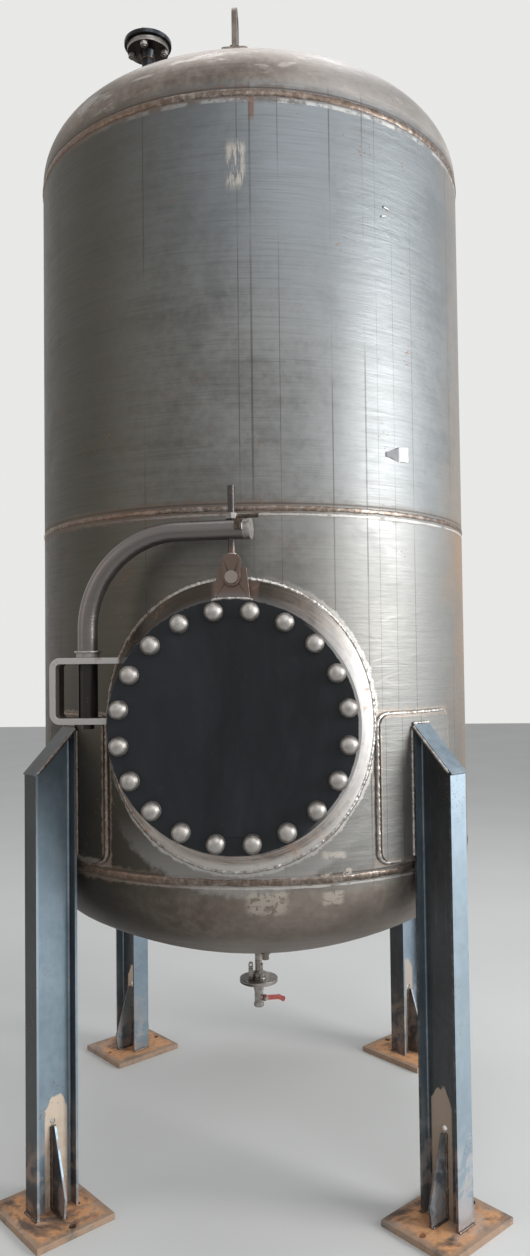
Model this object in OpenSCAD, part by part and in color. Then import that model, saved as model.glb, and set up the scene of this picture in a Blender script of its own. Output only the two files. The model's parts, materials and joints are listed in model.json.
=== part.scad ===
// Vertical pressure tank on four legs, with a bolted manhole and its davit.
// Millimetres, +Z up, origin on the tank axis at floor level.
// The manhole faces -Y, and the legs stand on the diagonals.

/* [Tank] */
// outside diameter of the shell and the heads
tank_od = 1528; // [1400:4:1700]
// plate thickness of the shell and the heads
tank_wall = 14; // [8:1:20]
// height of the lower weld seam above the floor
lower_seam_z = 1052; // [1000:1:1200]
// height of the lower shell course
lower_course_h = 1088; // [1000:1:1400]
// height of the upper shell course
upper_course_h = 1243; // [700:1:2000]
// straight skirt on each head
head_skirt = 25; // [20:1:60]
// depth of the dished part of each head, outside
head_depth = 353; // [325:1:385]

/* [Legs] */
// depth of the I-section, across its flanges
leg_depth = 140; // [120:1:160]
// width of the I-section flanges
leg_width = 73; // [60:1:90]
// thickness of the web
leg_web_t = 6; // [4:0.5:10]
// thickness of the flanges
leg_flange_t = 8; // [6:0.5:12]
// root radius between web and flange
leg_root_r = 7; // [4:1:10]
// height of the leg at its inner face
leg_top_z = 1487; // [1440:1:1500]
// slope of the leg top
leg_slope = 45; // [30:1:50]
// thickness of the plate that closes the leg top
leg_cap_t = 8; // [5:1:12]
// diameter of the hole in each web above the gussets
web_hole_d = 18; // [14:1:30]

/* [Leg Pads] */
// width of each curved pad behind a leg, along the shell
leg_pad_w = 328; // [240:2:360]
// height of each pad
leg_pad_h = 440; // [380:2:460]
// height of the pad's lower edge above the floor
leg_pad_z = 1085; // [1080:1:1100]
// pad thickness
leg_pad_t = 14; // [8:1:16]
// corner radius of the pads
leg_pad_r = 35; // [10:1:60]

/* [Base Plates] */
// size along the radius
base_len = 260; // [220:2:320]
// size across the radius
base_wid = 300; // [270:2:360]
// plate thickness
base_t = 20; // [12:1:30]
// distance between the two anchor holes of a plate
anchor_pitch = 240; // [220:1:250]
// diameter of the anchor holes
anchor_d = 24; // [18:1:30]
// gusset height
gusset_h = 256; // [150:1:256]
// gusset reach from the middle of the web
gusset_reach = 84; // [50:1:88]
// gusset thickness
gusset_t = 8; // [6:1:12]
// height of the gusset's upright outer edge
gusset_edge_h = 60; // [20:1:90]
// width of the gusset at its top
gusset_top_w = 20; // [10:1:30]

/* [Manhole] */
// height of the manhole axis above the floor
manhole_z = 1510; // [1500:1:1560]
// distance from the reinforcing pad to the back of the flange
neck_show = 27.7; // [24:0.1:120]
// outside diameter of cover and flange
cover_od = 715; // [700:1:730]
// cover thickness
cover_t = 36; // [28:1:44]
// flange thickness
flange_t = 36; // [28:1:40]
// gasket thickness
gasket_t = 3; // [2:0.5:5]
// bolt circle diameter
bolt_pcd = 650; // [630:1:656]
// number of bolts
bolt_count = 20; // [16:4:24]
// bolt diameter
bolt_d = 30; // [20:1:30]
// diameter of the bolt holes
bolt_hole_d = 33; // [31:0.5:34]
// width of the bolt heads and cap nuts across their flats
nut_af = 49; // [40:1:50]
// outside diameter of the neck
neck_od = 530; // [508:1:540]
// wall of the neck
neck_wall = 14; // [8:1:16]
// outside diameter of the reinforcing pad
pad_od = 840; // [760:1:850]
// thickness of the reinforcing pad
pad_t = 14; // [8:1:16]

/* [Davit] */
// diameter of the davit tube
davit_d = 57; // [48:0.5:61]
// wall of the davit tube
davit_wall = 4; // [3:0.5:6]
// distance from the manhole's upright centre line to the post
post_offset = 430; // [420:1:450]
// bend radius of the davit tube at its middle
davit_bend_r = 277; // [150:1:300]
// height of the davit arm above the manhole axis
davit_rise = 555; // [540:1:640]
// length of the arm beyond the hanger rod
arm_tail = 51; // [46:1:90]
// width of the bracket's flat bar
bar_w = 90; // [80:1:100]
// thickness of the bracket's flat bar
bar_t = 18; // [12:1:20]
// distance from the post to the back of the bracket
bracket_back = 101; // [80:1:110]
// height of the bracket's underside above the manhole axis
bracket_rise = 7; // [0:1:20]
// height of the bracket
bracket_h = 191; // [150:1:210]
// outside radius of the bracket's bends
bracket_r = 30; // [24:1:40]
// diameter of the spigot below the post
spigot_d = 35; // [25:1:40]
// diameter of the washer on the post
washer_d = 78; // [70:1:90]

/* [Hanger] */
// diameter of the threaded hanger rod
rod_d = 20; // [16:1:24]
// height of the rod above the arm
rod_above = 96; // [60:1:130]
// height of the clevis pin above the cover's rim
pin_rise = 61; // [50:1:75]
// diameter of the clevis pin
pin_d = 24; // [16:1:26]
// width of the clevis
clevis_w = 51; // [44:1:60]
// height of the clevis above its pin
clevis_h = 65; // [60:1:80]
// thickness of each clevis cheek
cheek_t = 12; // [8:1:14]
// thickness of the cover lug
lug_t = 20; // [14:1:22]
// width of the cover lug at its foot
lug_w = 105; // [80:1:120]

/* [Top Nozzle] */
// distance of the nozzle from the tank axis
nozzle_radius = 446; // [250:1:470]
// direction of the nozzle round the tank, from +X
nozzle_angle = -138; // [-150:1:-120]
// height of the nozzle's gasket face above the floor
nozzle_face_z = 3852; // [3800:1:3950]
// outside diameter of the nozzle pipe
nozzle_pipe_d = 42.4; // [33.7:0.1:48.3]
// wall of the nozzle pipe
nozzle_wall = 3.6; // [2.5:0.1:5]
// outside diameter of the nozzle flange
nozzle_flange_d = 145; // [143:1:155]
// thickness of the nozzle flange
nozzle_flange_t = 18; // [14:1:22]
// outside diameter of the plate that closes the nozzle
blind_d = 165; // [145:1:185]
// thickness of the plate that closes the nozzle
blind_t = 14; // [10:1:20]
// bolt circle diameter of the nozzle
nozzle_pcd = 114; // [100:1:115]
// bolt diameter of the nozzle
nozzle_bolt_d = 16; // [12:1:16]

/* [Lifting Lugs] */
// distance of each lug's middle from the tank axis
lift_radius = 560; // [400:1:565]
// plate thickness of the lugs
lift_t = 16; // [12:1:24]
// width of the lugs along the radius
lift_w = 90; // [70:1:100]
// height of the lugs above the head
lift_h = 142; // [110:1:180]
// diameter of the shackle hole
lift_hole_d = 36; // [20:1:44]
// width of the pad under each lug
lift_pad_w = 80; // [50:1:120]
// thickness of the pad under each lug
lift_pad_t = 12; // [8:1:14]

/* [Drain] */
// outside diameter of the drain pipe
drain_pipe_d = 26.9; // [21.3:0.1:33.7]
// wall of the drain pipe
drain_wall = 3.2; // [2.3:0.1:4.5]
// height of the drain plate's top face
drain_plate_z = 522; // [480:1:560]
// diameter of the drain plate
drain_plate_d = 140; // [110:1:160]
// thickness of the drain plate
drain_plate_t = 14; // [8:1:18]
// width of the valve's hexagon ends across their flats
valve_af = 32; // [28:1:36]
// diameter of the bore through the valve
valve_bore_d = 20; // [12:1:21]
// length of the valve body
valve_len = 72; // [60:1:90]
// length of the valve lever
lever_len = 124; // [80:1:130]
// direction of the valve stem round the pipe, from +X
stem_angle = -35; // [-90:1:0]
// diameter of the small coupling under the head
coupling_d = 22; // [16:1:34]

/* [Hidden] */
$fn = 96;
crown_fn = 360;
weld_gap = 0.3;
run_gap = 0.05;
tank_r = tank_od / 2;
mid_seam_z = lower_seam_z + lower_course_h;
upper_seam_z = mid_seam_z + upper_course_h;
top_knuckle_z = upper_seam_z + head_skirt;
low_knuckle_z = lower_seam_z - head_skirt;
crown_r = 0.88 * tank_od;
crown_low = crown_r - head_depth;
knuckle_r = (crown_r * crown_r - tank_r * tank_r - crown_low * crown_low) / (2 * (crown_r - tank_r));
knuckle_x = tank_r - knuckle_r;
crown_angle = asin(knuckle_x / (crown_r - knuckle_r));
top_crown_z = top_knuckle_z - crown_low;
low_crown_z = low_knuckle_z + crown_low;
top_of_tank = top_knuckle_z + head_depth;
low_of_tank = low_knuckle_z - head_depth;
leg_face_r = tank_r + weld_gap + leg_pad_t + weld_gap;
leg_r = leg_face_r + leg_depth / 2;
leg_angles = [-135, -45, 45, 135];
cap_drop = leg_depth * tan(leg_slope);
gusset_top_z = base_t + gusset_h;
flange_back = tank_r + weld_gap + pad_t + neck_show;
flange_front = flange_back + flange_t;
cover_back = flange_front + gasket_t;
manhole_reach = cover_back + cover_t;
pad_gap = 8;
gasket_od = bolt_pcd - bolt_hole_d - 10;
gasket_w = 38;
bolt_head_h = 18.7;
cap_grip_h = 18;
cap_d = 1.1 * nut_af;
cap_rim_h = 16;
cap_dome_r = 0.575 * cap_d;
cover_mid = manhole_reach - cover_t / 2;
bar_front = flange_front - 2;
post_y = bar_front - bar_w / 2;
arm_len = norm([post_offset, cover_mid - post_y]);
arm_turn = atan2(cover_mid - post_y, post_offset);
bracket_low_z = manhole_z + bracket_rise;
bracket_top_z = bracket_low_z + bracket_h;
collar_h = 14;
washer_t = 6;
arm_z = manhole_z + davit_rise;
rim_z = manhole_z + cover_od / 2;
pin_z = rim_z + pin_rise;
clevis_top_z = pin_z + clevis_h;
clevis_block_h = 20;
rod_nut_h = 18;
rod_nut_af = 1.5 * rod_d;
nozzle_x = nozzle_radius * cos(nozzle_angle);
nozzle_y = nozzle_radius * sin(nozzle_angle);
blind_gasket_t = 2;
nozzle_nut_h = 0.8 * nozzle_bolt_d;
nozzle_nut_af = 1.5 * nozzle_bolt_d;
nozzle_hole_d = nozzle_bolt_d + 2;
nipple_d = 26.9;
nipple_bore_d = 22;
nipple_h = 19;
valve_top_z = drain_plate_z - drain_plate_t - nipple_h;
valve_mid_z = valve_top_z - valve_len / 2;
valve_d = valve_af;
stem_d = 10;
boss_d = 20;
boss_reach = 26;
lever_t = 4;
lever_w = 17;
lever_hub_d = 24;
lever_dip = 14;
lever_bend = 16;
coupling_y = -430;
coupling_x = 54;
hub_ring_d = 50;
hub_ring_h = 20;
drain_lug_h = 64;
drain_lug_w = 17;
drain_lug_t = 8;
boss_at = 26;
boss_w = 17;
lock_d = 12;
lock_reach = 60;
lock_y = -davit_d / 2 - weld_gap - lock_d / 2;
lock_z = 31;
lock_bend = 8;
boss_low = 5;
cap_len = 20;
cap_over = 14;

steel = [0.36, 0.36, 0.37];
dark_steel = [0.22, 0.23, 0.25];
bare_steel = [0.60, 0.56, 0.53];
bright = [0.80, 0.80, 0.80];
rust = [0.62, 0.38, 0.24];
black = [0.08, 0.09, 0.11];
red = [0.60, 0.14, 0.12];

// places its children at each leg, with +X pointing away from the tank axis
module at_legs() {
    for (a = leg_angles)
        rotate([0, 0, a])
            children();
}

// turns a shape drawn along +Z so that it points to the front, at the manhole
module to_front() {
    translate([0, 0, manhole_z])
        rotate([90, 0, 0])
            children();
}

module hexagon(af) {
    circle(d = af / cos(30), $fn = 6);
}

module shell_course(z, h) {
    translate([0, 0, z])
        difference() {
            cylinder(r = tank_r, h = h);
            translate([0, 0, -1])
                cylinder(r = tank_r - tank_wall, h = h + 2);
        }
}

module shell_lower() {
    color(steel)
        difference() {
            shell_course(lower_seam_z, lower_course_h);
            to_front()
                cylinder(d = neck_od + 2 * weld_gap, h = tank_od);
        }
}

module shell_upper() {
    color(steel)
        shell_course(mid_seam_z, upper_course_h);
}

// half section of a solid head, set in by a given amount and lengthened at its open end
module head_fill(inset, below) {
    translate([0, -below])
        square([tank_r - inset, head_skirt + below]);
    translate([knuckle_x, head_skirt])
        intersection() {
            circle(r = knuckle_r - inset);
            translate([-knuckle_x, 0])
                square([2 * tank_r, knuckle_r]);
        }
    translate([0, head_skirt - crown_low])
        intersection() {
            circle(r = crown_r - inset);
            polygon([[0, crown_low], [knuckle_x, crown_low],
                [2 * (crown_r - knuckle_r) * sin(crown_angle), 2 * crown_low],
                [0, 2 * crown_low]]);
        }
}

// half section of a dished head, with its open end at y = 0
module head_section() {
    difference() {
        head_fill(0, 0);
        head_fill(tank_wall, 10);
    }
}

module dished_head() {
    rotate_extrude()
        head_section();
}

module top_head() {
    color(steel)
        difference() {
            translate([0, 0, upper_seam_z])
                dished_head();
            translate([nozzle_x, nozzle_y, upper_seam_z])
                cylinder(d = nozzle_pipe_d + 2 * weld_gap, h = head_depth + 100);
        }
}

module bottom_head() {
    color(steel)
        difference() {
            translate([0, 0, lower_seam_z])
                mirror([0, 0, 1])
                    dished_head();
            translate([0, 0, low_of_tank - 10])
                cylinder(d = drain_pipe_d + 2 * weld_gap, h = 60);
        }
}

module rounded_plate(w, h, r) {
    translate([r, 0])
        square([w - 2 * r, h]);
    translate([0, r])
        square([w, h - 2 * r]);
    for (x = [r, w - r], y = [r, h - r])
        translate([x, y])
            circle(r = r);
}

// front view of a flat round plate after it is rolled to the shell
module rolled_disc(r) {
    surface_r = tank_r + weld_gap + pad_t;
    polygon([for (i = [0 : 119])
        [surface_r * sin(r * cos(3 * i) / surface_r * 180 / PI), r * sin(3 * i)]]);
}

// the pads behind the legs stay clear of the manhole's pad
module leg_pads() {
    color(steel)
        difference() {
            at_legs()
                intersection() {
                    translate([0, 0, leg_pad_z - 1])
                        difference() {
                            cylinder(r = tank_r + weld_gap + leg_pad_t, h = leg_pad_h + 2);
                            translate([0, 0, -1])
                                cylinder(r = tank_r + weld_gap, h = leg_pad_h + 4);
                        }
                    translate([tank_r / 2, -leg_pad_w / 2, leg_pad_z])
                        rotate([90, 0, 90])
                            linear_extrude(tank_r)
                                rounded_plate(leg_pad_w, leg_pad_h, leg_pad_r);
                }
            to_front()
                linear_extrude(tank_od)
                    rolled_disc(pad_od / 2 + pad_gap);
        }
}

module leg_section() {
    root = leg_web_t / 2 + leg_root_r;
    inner = leg_depth / 2 - leg_flange_t;
    difference() {
        square([leg_depth, leg_width], center = true);
        for (s = [-1, 1]) {
            translate([-inner + leg_root_r, s > 0 ? leg_web_t / 2 : -leg_width])
                square([2 * (inner - leg_root_r), leg_width - leg_web_t / 2]);
            translate([-inner, s > 0 ? root : -leg_width])
                square([2 * inner, leg_width - root]);
            for (t = [-1, 1])
                translate([t * (inner - leg_root_r), s * root])
                    circle(r = leg_root_r);
        }
    }
}

// the space above the slanted leg top, raised by a given amount
module above_leg_top(rise) {
    translate([leg_face_r, 0, leg_top_z + rise])
        rotate([0, leg_slope, 0])
            translate([-leg_depth, -leg_depth, 0])
                cube([3 * leg_depth / cos(leg_slope), 2 * leg_depth, 3 * leg_depth]);
}

module legs() {
    color(dark_steel)
        at_legs()
            difference() {
                translate([leg_r, 0, base_t])
                    linear_extrude(leg_top_z - base_t)
                        leg_section();
                above_leg_top(0);
                translate([leg_r, 0, gusset_top_z + web_hole_d / 2])
                    rotate([90, 0, 0])
                        cylinder(d = web_hole_d, h = 2 * leg_web_t, center = true);
            }
}

module leg_caps() {
    color(dark_steel)
        at_legs()
            translate([leg_face_r, -leg_width / 2, leg_top_z])
                rotate([0, leg_slope, 0])
                    cube([leg_depth / cos(leg_slope), leg_width, leg_cap_t]);
}

module base_plates() {
    color(rust)
        at_legs()
            translate([leg_r, 0, 0])
                difference() {
                    translate([-base_len / 2, -base_wid / 2, 0])
                        cube([base_len, base_wid, base_t]);
                    for (s = [-1, 1])
                        translate([0, s * anchor_pitch / 2, -1])
                            cylinder(d = anchor_d, h = base_t + 2);
                }
}

module leg_gussets() {
    color(dark_steel)
        at_legs()
            for (s = [0, 1])
                mirror([0, s, 0])
                    translate([leg_r - gusset_t / 2, 0, base_t])
                        rotate([90, 0, 90])
                            linear_extrude(gusset_t)
                                polygon([[leg_web_t / 2, 0], [gusset_reach - 8, 0],
                                    [gusset_reach, gusset_edge_h], [gusset_top_w, gusset_h],
                                    [leg_web_t / 2, gusset_h]]);
}

module manhole_pad() {
    inside = tank_r + weld_gap;
    color(bare_steel)
        intersection() {
            translate([0, 0, manhole_z - pad_od])
                difference() {
                    cylinder(r = inside + pad_t, h = 2 * pad_od);
                    translate([0, 0, -1])
                        cylinder(r = inside, h = 2 * pad_od + 2);
                }
            to_front()
                difference() {
                    linear_extrude(tank_od)
                        rolled_disc(pad_od / 2);
                    translate([0, 0, -1])
                        cylinder(d = neck_od + 2 * weld_gap, h = tank_od + 2);
                }
        }
}

module manhole_neck() {
    color(bare_steel)
        difference() {
            to_front()
                difference() {
                    cylinder(d = neck_od, h = flange_back);
                    translate([0, 0, -1])
                        cylinder(d = neck_od - 2 * neck_wall, h = flange_back + 2);
                }
            translate([0, 0, manhole_z - neck_od])
                cylinder(r = tank_r - tank_wall, h = 2 * neck_od);
        }
}

// the bolt positions, which straddle the upright centre line
module at_bolts() {
    for (i = [0 : bolt_count - 1])
        rotate([0, 0, (i + 0.5) * 360 / bolt_count])
            translate([0, bolt_pcd / 2, 0])
                children();
}

module bolted_disc(from, thick, bore) {
    to_front()
        translate([0, 0, from])
            difference() {
                cylinder(d = cover_od, h = thick);
                if (bore > 0)
                    translate([0, 0, -1])
                        cylinder(d = bore, h = thick + 2);
                translate([0, 0, -1])
                    at_bolts()
                        cylinder(d = bolt_hole_d, h = thick + 2);
            }
}

module manhole_flange() {
    color(bare_steel)
        bolted_disc(flange_back, flange_t, neck_od - 2 * neck_wall);
}

module manhole_gasket() {
    color(black)
        to_front()
            translate([0, 0, flange_front])
                difference() {
                    cylinder(d = gasket_od, h = gasket_t);
                    translate([0, 0, -1])
                        cylinder(d = gasket_od - 2 * gasket_w, h = gasket_t + 2);
                }
}

module manhole_cover() {
    color(black)
        bolted_disc(cover_back, cover_t, 0);
}

module manhole_bolts() {
    color(bright)
        to_front()
            at_bolts() {
                translate([0, 0, flange_back - bolt_head_h])
                    linear_extrude(bolt_head_h)
                        hexagon(nut_af);
                translate([0, 0, flange_back])
                    cylinder(d = bolt_d, h = manhole_reach + cap_grip_h - flange_back);
            }
}

// round caps with a low dome, screwed on the bolts
module manhole_cap_nuts() {
    dome_z = cap_rim_h - sqrt(cap_dome_r * cap_dome_r - cap_d * cap_d / 4);
    color(bright)
        to_front()
            at_bolts()
                translate([0, 0, manhole_reach])
                    difference() {
                        union() {
                            cylinder(d = cap_d, h = cap_rim_h);
                            intersection() {
                                translate([0, 0, dome_z])
                                    sphere(r = cap_dome_r);
                                translate([0, 0, cap_rim_h])
                                    cylinder(d = 2 * cap_d, h = cap_d);
                            }
                        }
                        translate([0, 0, -1])
                            cylinder(d = bolt_d + 2 * run_gap, h = cap_grip_h + 5);
                    }
}

// places its children at the davit post, with +X along the arm
module at_post() {
    translate([-post_offset, -post_y, 0])
        rotate([0, 0, -arm_turn])
            children();
}

// U-shaped outline of the bracket, seen from the front
module bracket_outline() {
    back = post_offset + bracket_back;
    inner_r = bracket_r - bar_t;
    difference() {
        union() {
            translate([-back + bracket_r, 0])
                square([back, bracket_h]);
            translate([-back, bracket_r])
                square([back, bracket_h - 2 * bracket_r]);
            for (z = [bracket_r, bracket_h - bracket_r])
                translate([-back + bracket_r, z])
                    circle(r = bracket_r);
        }
        translate([-back + bar_t + inner_r, bar_t])
            square([back, bracket_h - 2 * bar_t]);
        translate([-back + bar_t, bar_t + inner_r])
            square([back, bracket_h - 2 * bar_t - 2 * inner_r]);
        for (z = [bracket_r, bracket_h - bracket_r])
            translate([-back + bracket_r, z])
                circle(r = inner_r);
        translate([0, -bracket_rise])
            circle(d = cover_od + 2 * weld_gap);
        translate([0, -1])
            square([cover_od, bracket_h + 2]);
    }
}

module davit_bracket() {
    color(bare_steel)
        difference() {
            translate([0, -bar_front + bar_w, bracket_low_z])
                rotate([90, 0, 0])
                    linear_extrude(bar_w)
                        bracket_outline();
            at_post() {
                translate([0, 0, bracket_top_z - 2 * bar_t])
                    cylinder(d = davit_d + 2, h = 3 * bar_t);
                translate([0, 0, bracket_low_z - bar_t])
                    cylinder(d = spigot_d + 2, h = 3 * bar_t);
            }
        }
}

module tube_section() {
    difference() {
        circle(d = davit_d);
        circle(d = davit_d - 2 * davit_wall);
    }
}

module davit_arm() {
    post_low = bracket_low_z + bar_t;
    bend_z = arm_z - davit_bend_r;
    color(steel)
        at_post() {
            difference() {
                union() {
                    translate([0, 0, post_low + 20])
                        linear_extrude(bend_z - post_low - 20)
                            tube_section();
                    translate([davit_bend_r, 0, bend_z])
                        rotate([90, 0, 180])
                            rotate_extrude(angle = 90)
                                translate([davit_bend_r, 0])
                                    tube_section();
                    translate([davit_bend_r, 0, arm_z])
                        rotate([0, 90, 0])
                            linear_extrude(arm_len + arm_tail - davit_bend_r)
                                tube_section();
                }
                translate([arm_len, 0, arm_z - davit_d])
                    cylinder(d = rod_d + 2, h = 2 * davit_d);
            }
            translate([0, 0, post_low])
                cylinder(d = davit_d, h = 20);
            translate([0, 0, bracket_low_z - 15])
                cylinder(d = spigot_d, h = bar_t + 15);
        }
}

module davit_collar() {
    color(bright)
        at_post()
            translate([0, 0, bracket_top_z])
                difference() {
                    union() {
                        cylinder(d = davit_d + 10, h = collar_h);
                        translate([0, 0, collar_h])
                            cylinder(d = washer_d, h = washer_t);
                    }
                    translate([0, 0, -1])
                        cylinder(d = davit_d + 2 * run_gap, h = collar_h + washer_t + 2);
                }
}

module davit_end_cap() {
    color(bright)
        at_post()
            translate([arm_len + arm_tail - cap_over, 0, arm_z])
                rotate([0, 90, 0])
                    difference() {
                        cylinder(d = davit_d + 3, h = cap_len);
                        translate([0, 0, -1])
                            cylinder(d = davit_d + 2 * run_gap, h = cap_over + 1);
                    }
}

// places its children in the middle of the locking pin's upright leg
module at_lock() {
    at_post()
        translate([arm_len + boss_at, lock_y, arm_z])
            children();
}

module arm_boss() {
    color(bare_steel)
        difference() {
            at_lock()
                translate([-boss_w / 2, -lock_d / 2 - 3, -boss_low])
                    cube([boss_w, davit_d / 2, lock_z - lock_bend - 0.5 + boss_low]);
            at_post()
                translate([0, 0, arm_z])
                    rotate([0, 90, 0])
                        cylinder(d = davit_d + 2 * weld_gap, h = 2 * arm_len);
            at_lock()
                cylinder(d = lock_d + 2 * weld_gap, h = lock_z);
        }
}

// a bent bar that stands in the boss and points away from the hanger rod
module locking_pin() {
    color(bare_steel)
        at_lock() {
            cylinder(d = lock_d, h = lock_z - lock_bend);
            translate([lock_bend, 0, lock_z - lock_bend])
                rotate([90, 0, 180])
                    rotate_extrude(angle = 90)
                        translate([lock_bend, 0])
                            circle(d = lock_d);
            translate([lock_bend, 0, lock_z])
                rotate([0, 90, 0])
                    cylinder(d = lock_d, h = lock_reach - lock_bend);
        }
}

// places its children on the hanger rod's axis
module at_rod() {
    translate([0, -cover_mid, 0])
        children();
}

module hanger_rod() {
    top = arm_z + davit_d / 2 + rod_above;
    color(bare_steel)
        at_rod()
            translate([0, 0, clevis_top_z])
                cylinder(d = rod_d, h = top - clevis_top_z);
}

module hanger_nut() {
    color(bright)
        at_rod()
            translate([0, 0, arm_z + davit_d / 2])
                difference() {
                    linear_extrude(rod_nut_h)
                        rotate(30)
                            hexagon(rod_nut_af);
                    translate([0, 0, -1])
                        cylinder(d = rod_d + 2 * run_gap, h = rod_nut_h + 2);
                }
}

module hanger_clevis() {
    gap = lug_t + 2;
    depth = gap + 2 * cheek_t;
    color(bare_steel)
        at_rod()
            difference() {
                translate([0, depth / 2, 0])
                    rotate([90, 0, 0])
                        linear_extrude(depth)
                            union() {
                                translate([0, pin_z])
                                    circle(d = clevis_w);
                                polygon([[-clevis_w / 2, pin_z], [clevis_w / 2, pin_z],
                                    [clevis_w / 2, clevis_top_z - 10], [clevis_w / 2 - 8, clevis_top_z],
                                    [-clevis_w / 2 + 8, clevis_top_z], [-clevis_w / 2, clevis_top_z - 10]]);
                            }
                translate([-clevis_w, -gap / 2, pin_z - clevis_w])
                    cube([2 * clevis_w, gap, clevis_top_z - clevis_block_h - pin_z + clevis_w]);
                translate([0, depth, pin_z])
                    rotate([90, 0, 0])
                        cylinder(d = pin_d + 2 * weld_gap, h = 2 * depth);
            }
}

module clevis_pin() {
    reach = lug_t / 2 + 1 + cheek_t;
    color(bare_steel)
        translate([0, -cover_mid, pin_z])
            rotate([90, 0, 0]) {
                translate([0, 0, -reach - 6])
                    cylinder(d = pin_d, h = 2 * reach + 6);
                translate([0, 0, reach])
                    cylinder(d = 1.5 * pin_d, h = 8);
            }
}

module cover_lug() {
    top_w = 0.78 * lug_w;
    color(bare_steel)
        translate([0, -cover_mid + lug_t / 2, 0])
            rotate([90, 0, 0])
                linear_extrude(lug_t)
                    difference() {
                        polygon([[-lug_w / 2, rim_z - 12], [lug_w / 2, rim_z - 12],
                            [top_w / 2, pin_z + 28], [-top_w / 2, pin_z + 28]]);
                        translate([0, manhole_z])
                            circle(d = cover_od + 2 * weld_gap);
                        translate([0, pin_z])
                            circle(d = pin_d + 2 * weld_gap);
                    }
}

module at_nozzle() {
    translate([nozzle_x, nozzle_y, nozzle_face_z])
        rotate([0, 0, nozzle_angle + 45])
            children();
}

module at_nozzle_bolts() {
    for (a = [0, 90, 180, 270])
        rotate([0, 0, a])
            translate([nozzle_pcd / 2, 0, 0])
                children();
}

module nozzle_neck() {
    inner_crown = crown_r - tank_wall;
    low_z = top_crown_z + sqrt(inner_crown * inner_crown - nozzle_radius * nozzle_radius) - 20;
    hub_h = 24;
    color(steel)
        difference() {
            at_nozzle() {
                translate([0, 0, low_z - nozzle_face_z])
                    cylinder(d = nozzle_pipe_d, h = nozzle_face_z - low_z - nozzle_flange_t);
                translate([0, 0, -nozzle_flange_t - hub_h])
                    cylinder(d1 = nozzle_pipe_d, d2 = nozzle_pipe_d + 12, h = hub_h);
            }
            translate([nozzle_x, nozzle_y, low_z - 1])
                cylinder(d = nozzle_pipe_d - 2 * nozzle_wall, h = nozzle_face_z - low_z + 2);
        }
}

module nozzle_disc(z, d, t, bore) {
    at_nozzle()
        translate([0, 0, z])
            difference() {
                cylinder(d = d, h = t);
                if (bore > 0)
                    translate([0, 0, -1])
                        cylinder(d = bore, h = t + 2);
                translate([0, 0, -1])
                    at_nozzle_bolts()
                        cylinder(d = nozzle_hole_d, h = t + 2);
            }
}

module nozzle_flange() {
    color(bare_steel)
        nozzle_disc(-nozzle_flange_t, nozzle_flange_d, nozzle_flange_t, nozzle_pipe_d - 2 * nozzle_wall);
}

module nozzle_gasket() {
    color(black)
        at_nozzle()
            difference() {
                cylinder(d = nozzle_pcd - nozzle_hole_d - 4, h = blind_gasket_t);
                translate([0, 0, -1])
                    cylinder(d = nozzle_pipe_d, h = blind_gasket_t + 2);
            }
}

module nozzle_blind() {
    color(dark_steel)
        nozzle_disc(blind_gasket_t, blind_d, blind_t, 0);
}

module nozzle_bolts() {
    top = blind_gasket_t + blind_t;
    color(bright)
        at_nozzle()
            at_nozzle_bolts() {
                translate([0, 0, top])
                    linear_extrude(10)
                        hexagon(nozzle_nut_af);
                translate([0, 0, -nozzle_flange_t - nozzle_nut_h - 4])
                    cylinder(d = nozzle_bolt_d, h = top + nozzle_flange_t + nozzle_nut_h + 4);
            }
}

module nozzle_nuts() {
    color(bright)
        at_nozzle()
            at_nozzle_bolts()
                translate([0, 0, -nozzle_flange_t - nozzle_nut_h])
                    difference() {
                        linear_extrude(nozzle_nut_h)
                            hexagon(nozzle_nut_af);
                        translate([0, 0, -1])
                            cylinder(d = nozzle_bolt_d + 2 * run_gap, h = nozzle_nut_h + 2);
                    }
}

module lifting_pads() {
    pad_l = lift_w + 20;
    color(steel)
        for (a = [-90, 90])
            rotate([0, 0, a])
                intersection() {
                    translate([0, 0, top_crown_z])
                        difference() {
                            sphere(r = crown_r + weld_gap + lift_pad_t, $fn = crown_fn);
                            sphere(r = crown_r + weld_gap, $fn = crown_fn);
                        }
                    translate([lift_radius - pad_l / 2, -lift_pad_w / 2, upper_seam_z])
                        linear_extrude(2 * head_depth)
                            rounded_plate(pad_l, lift_pad_w, 12);
                }
}

module lifting_lugs() {
    surface_z = top_crown_z + sqrt(crown_r * crown_r - lift_radius * lift_radius);
    hole_z = surface_z + lift_h - lift_w / 2;
    color(steel)
        for (a = [-90, 90])
            rotate([0, 0, a])
                difference() {
                    translate([lift_radius, lift_t / 2, 0])
                        rotate([90, 0, 0])
                            linear_extrude(lift_t)
                                difference() {
                                    union() {
                                        translate([-lift_w / 2, surface_z - 60])
                                            square([lift_w, hole_z - surface_z + 60]);
                                        translate([0, hole_z])
                                            circle(d = lift_w);
                                    }
                                    translate([0, hole_z])
                                        circle(d = lift_hole_d);
                                }
                    translate([0, 0, top_crown_z])
                        sphere(r = crown_r + 2 * weld_gap + lift_pad_t, $fn = crown_fn);
                }
}

module drain_pipe() {
    color(bare_steel)
        translate([0, 0, drain_plate_z])
            difference() {
                cylinder(d = drain_pipe_d, h = low_of_tank + tank_wall - drain_plate_z);
                translate([0, 0, -1])
                    cylinder(d = drain_pipe_d - 2 * drain_wall, h = low_of_tank + tank_wall - drain_plate_z + 2);
            }
}

module drain_plate() {
    low = drain_plate_z - drain_plate_t;
    color(dark_steel)
        difference() {
            union() {
                translate([0, 0, low])
                    cylinder(d = drain_plate_d, h = drain_plate_t);
                translate([0, 0, valve_top_z])
                    cylinder(d = nipple_d, h = nipple_h);
            }
            translate([0, 0, valve_top_z - 1])
                cylinder(d = nipple_bore_d, h = nipple_h + drain_plate_t + 2);
        }
}

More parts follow.
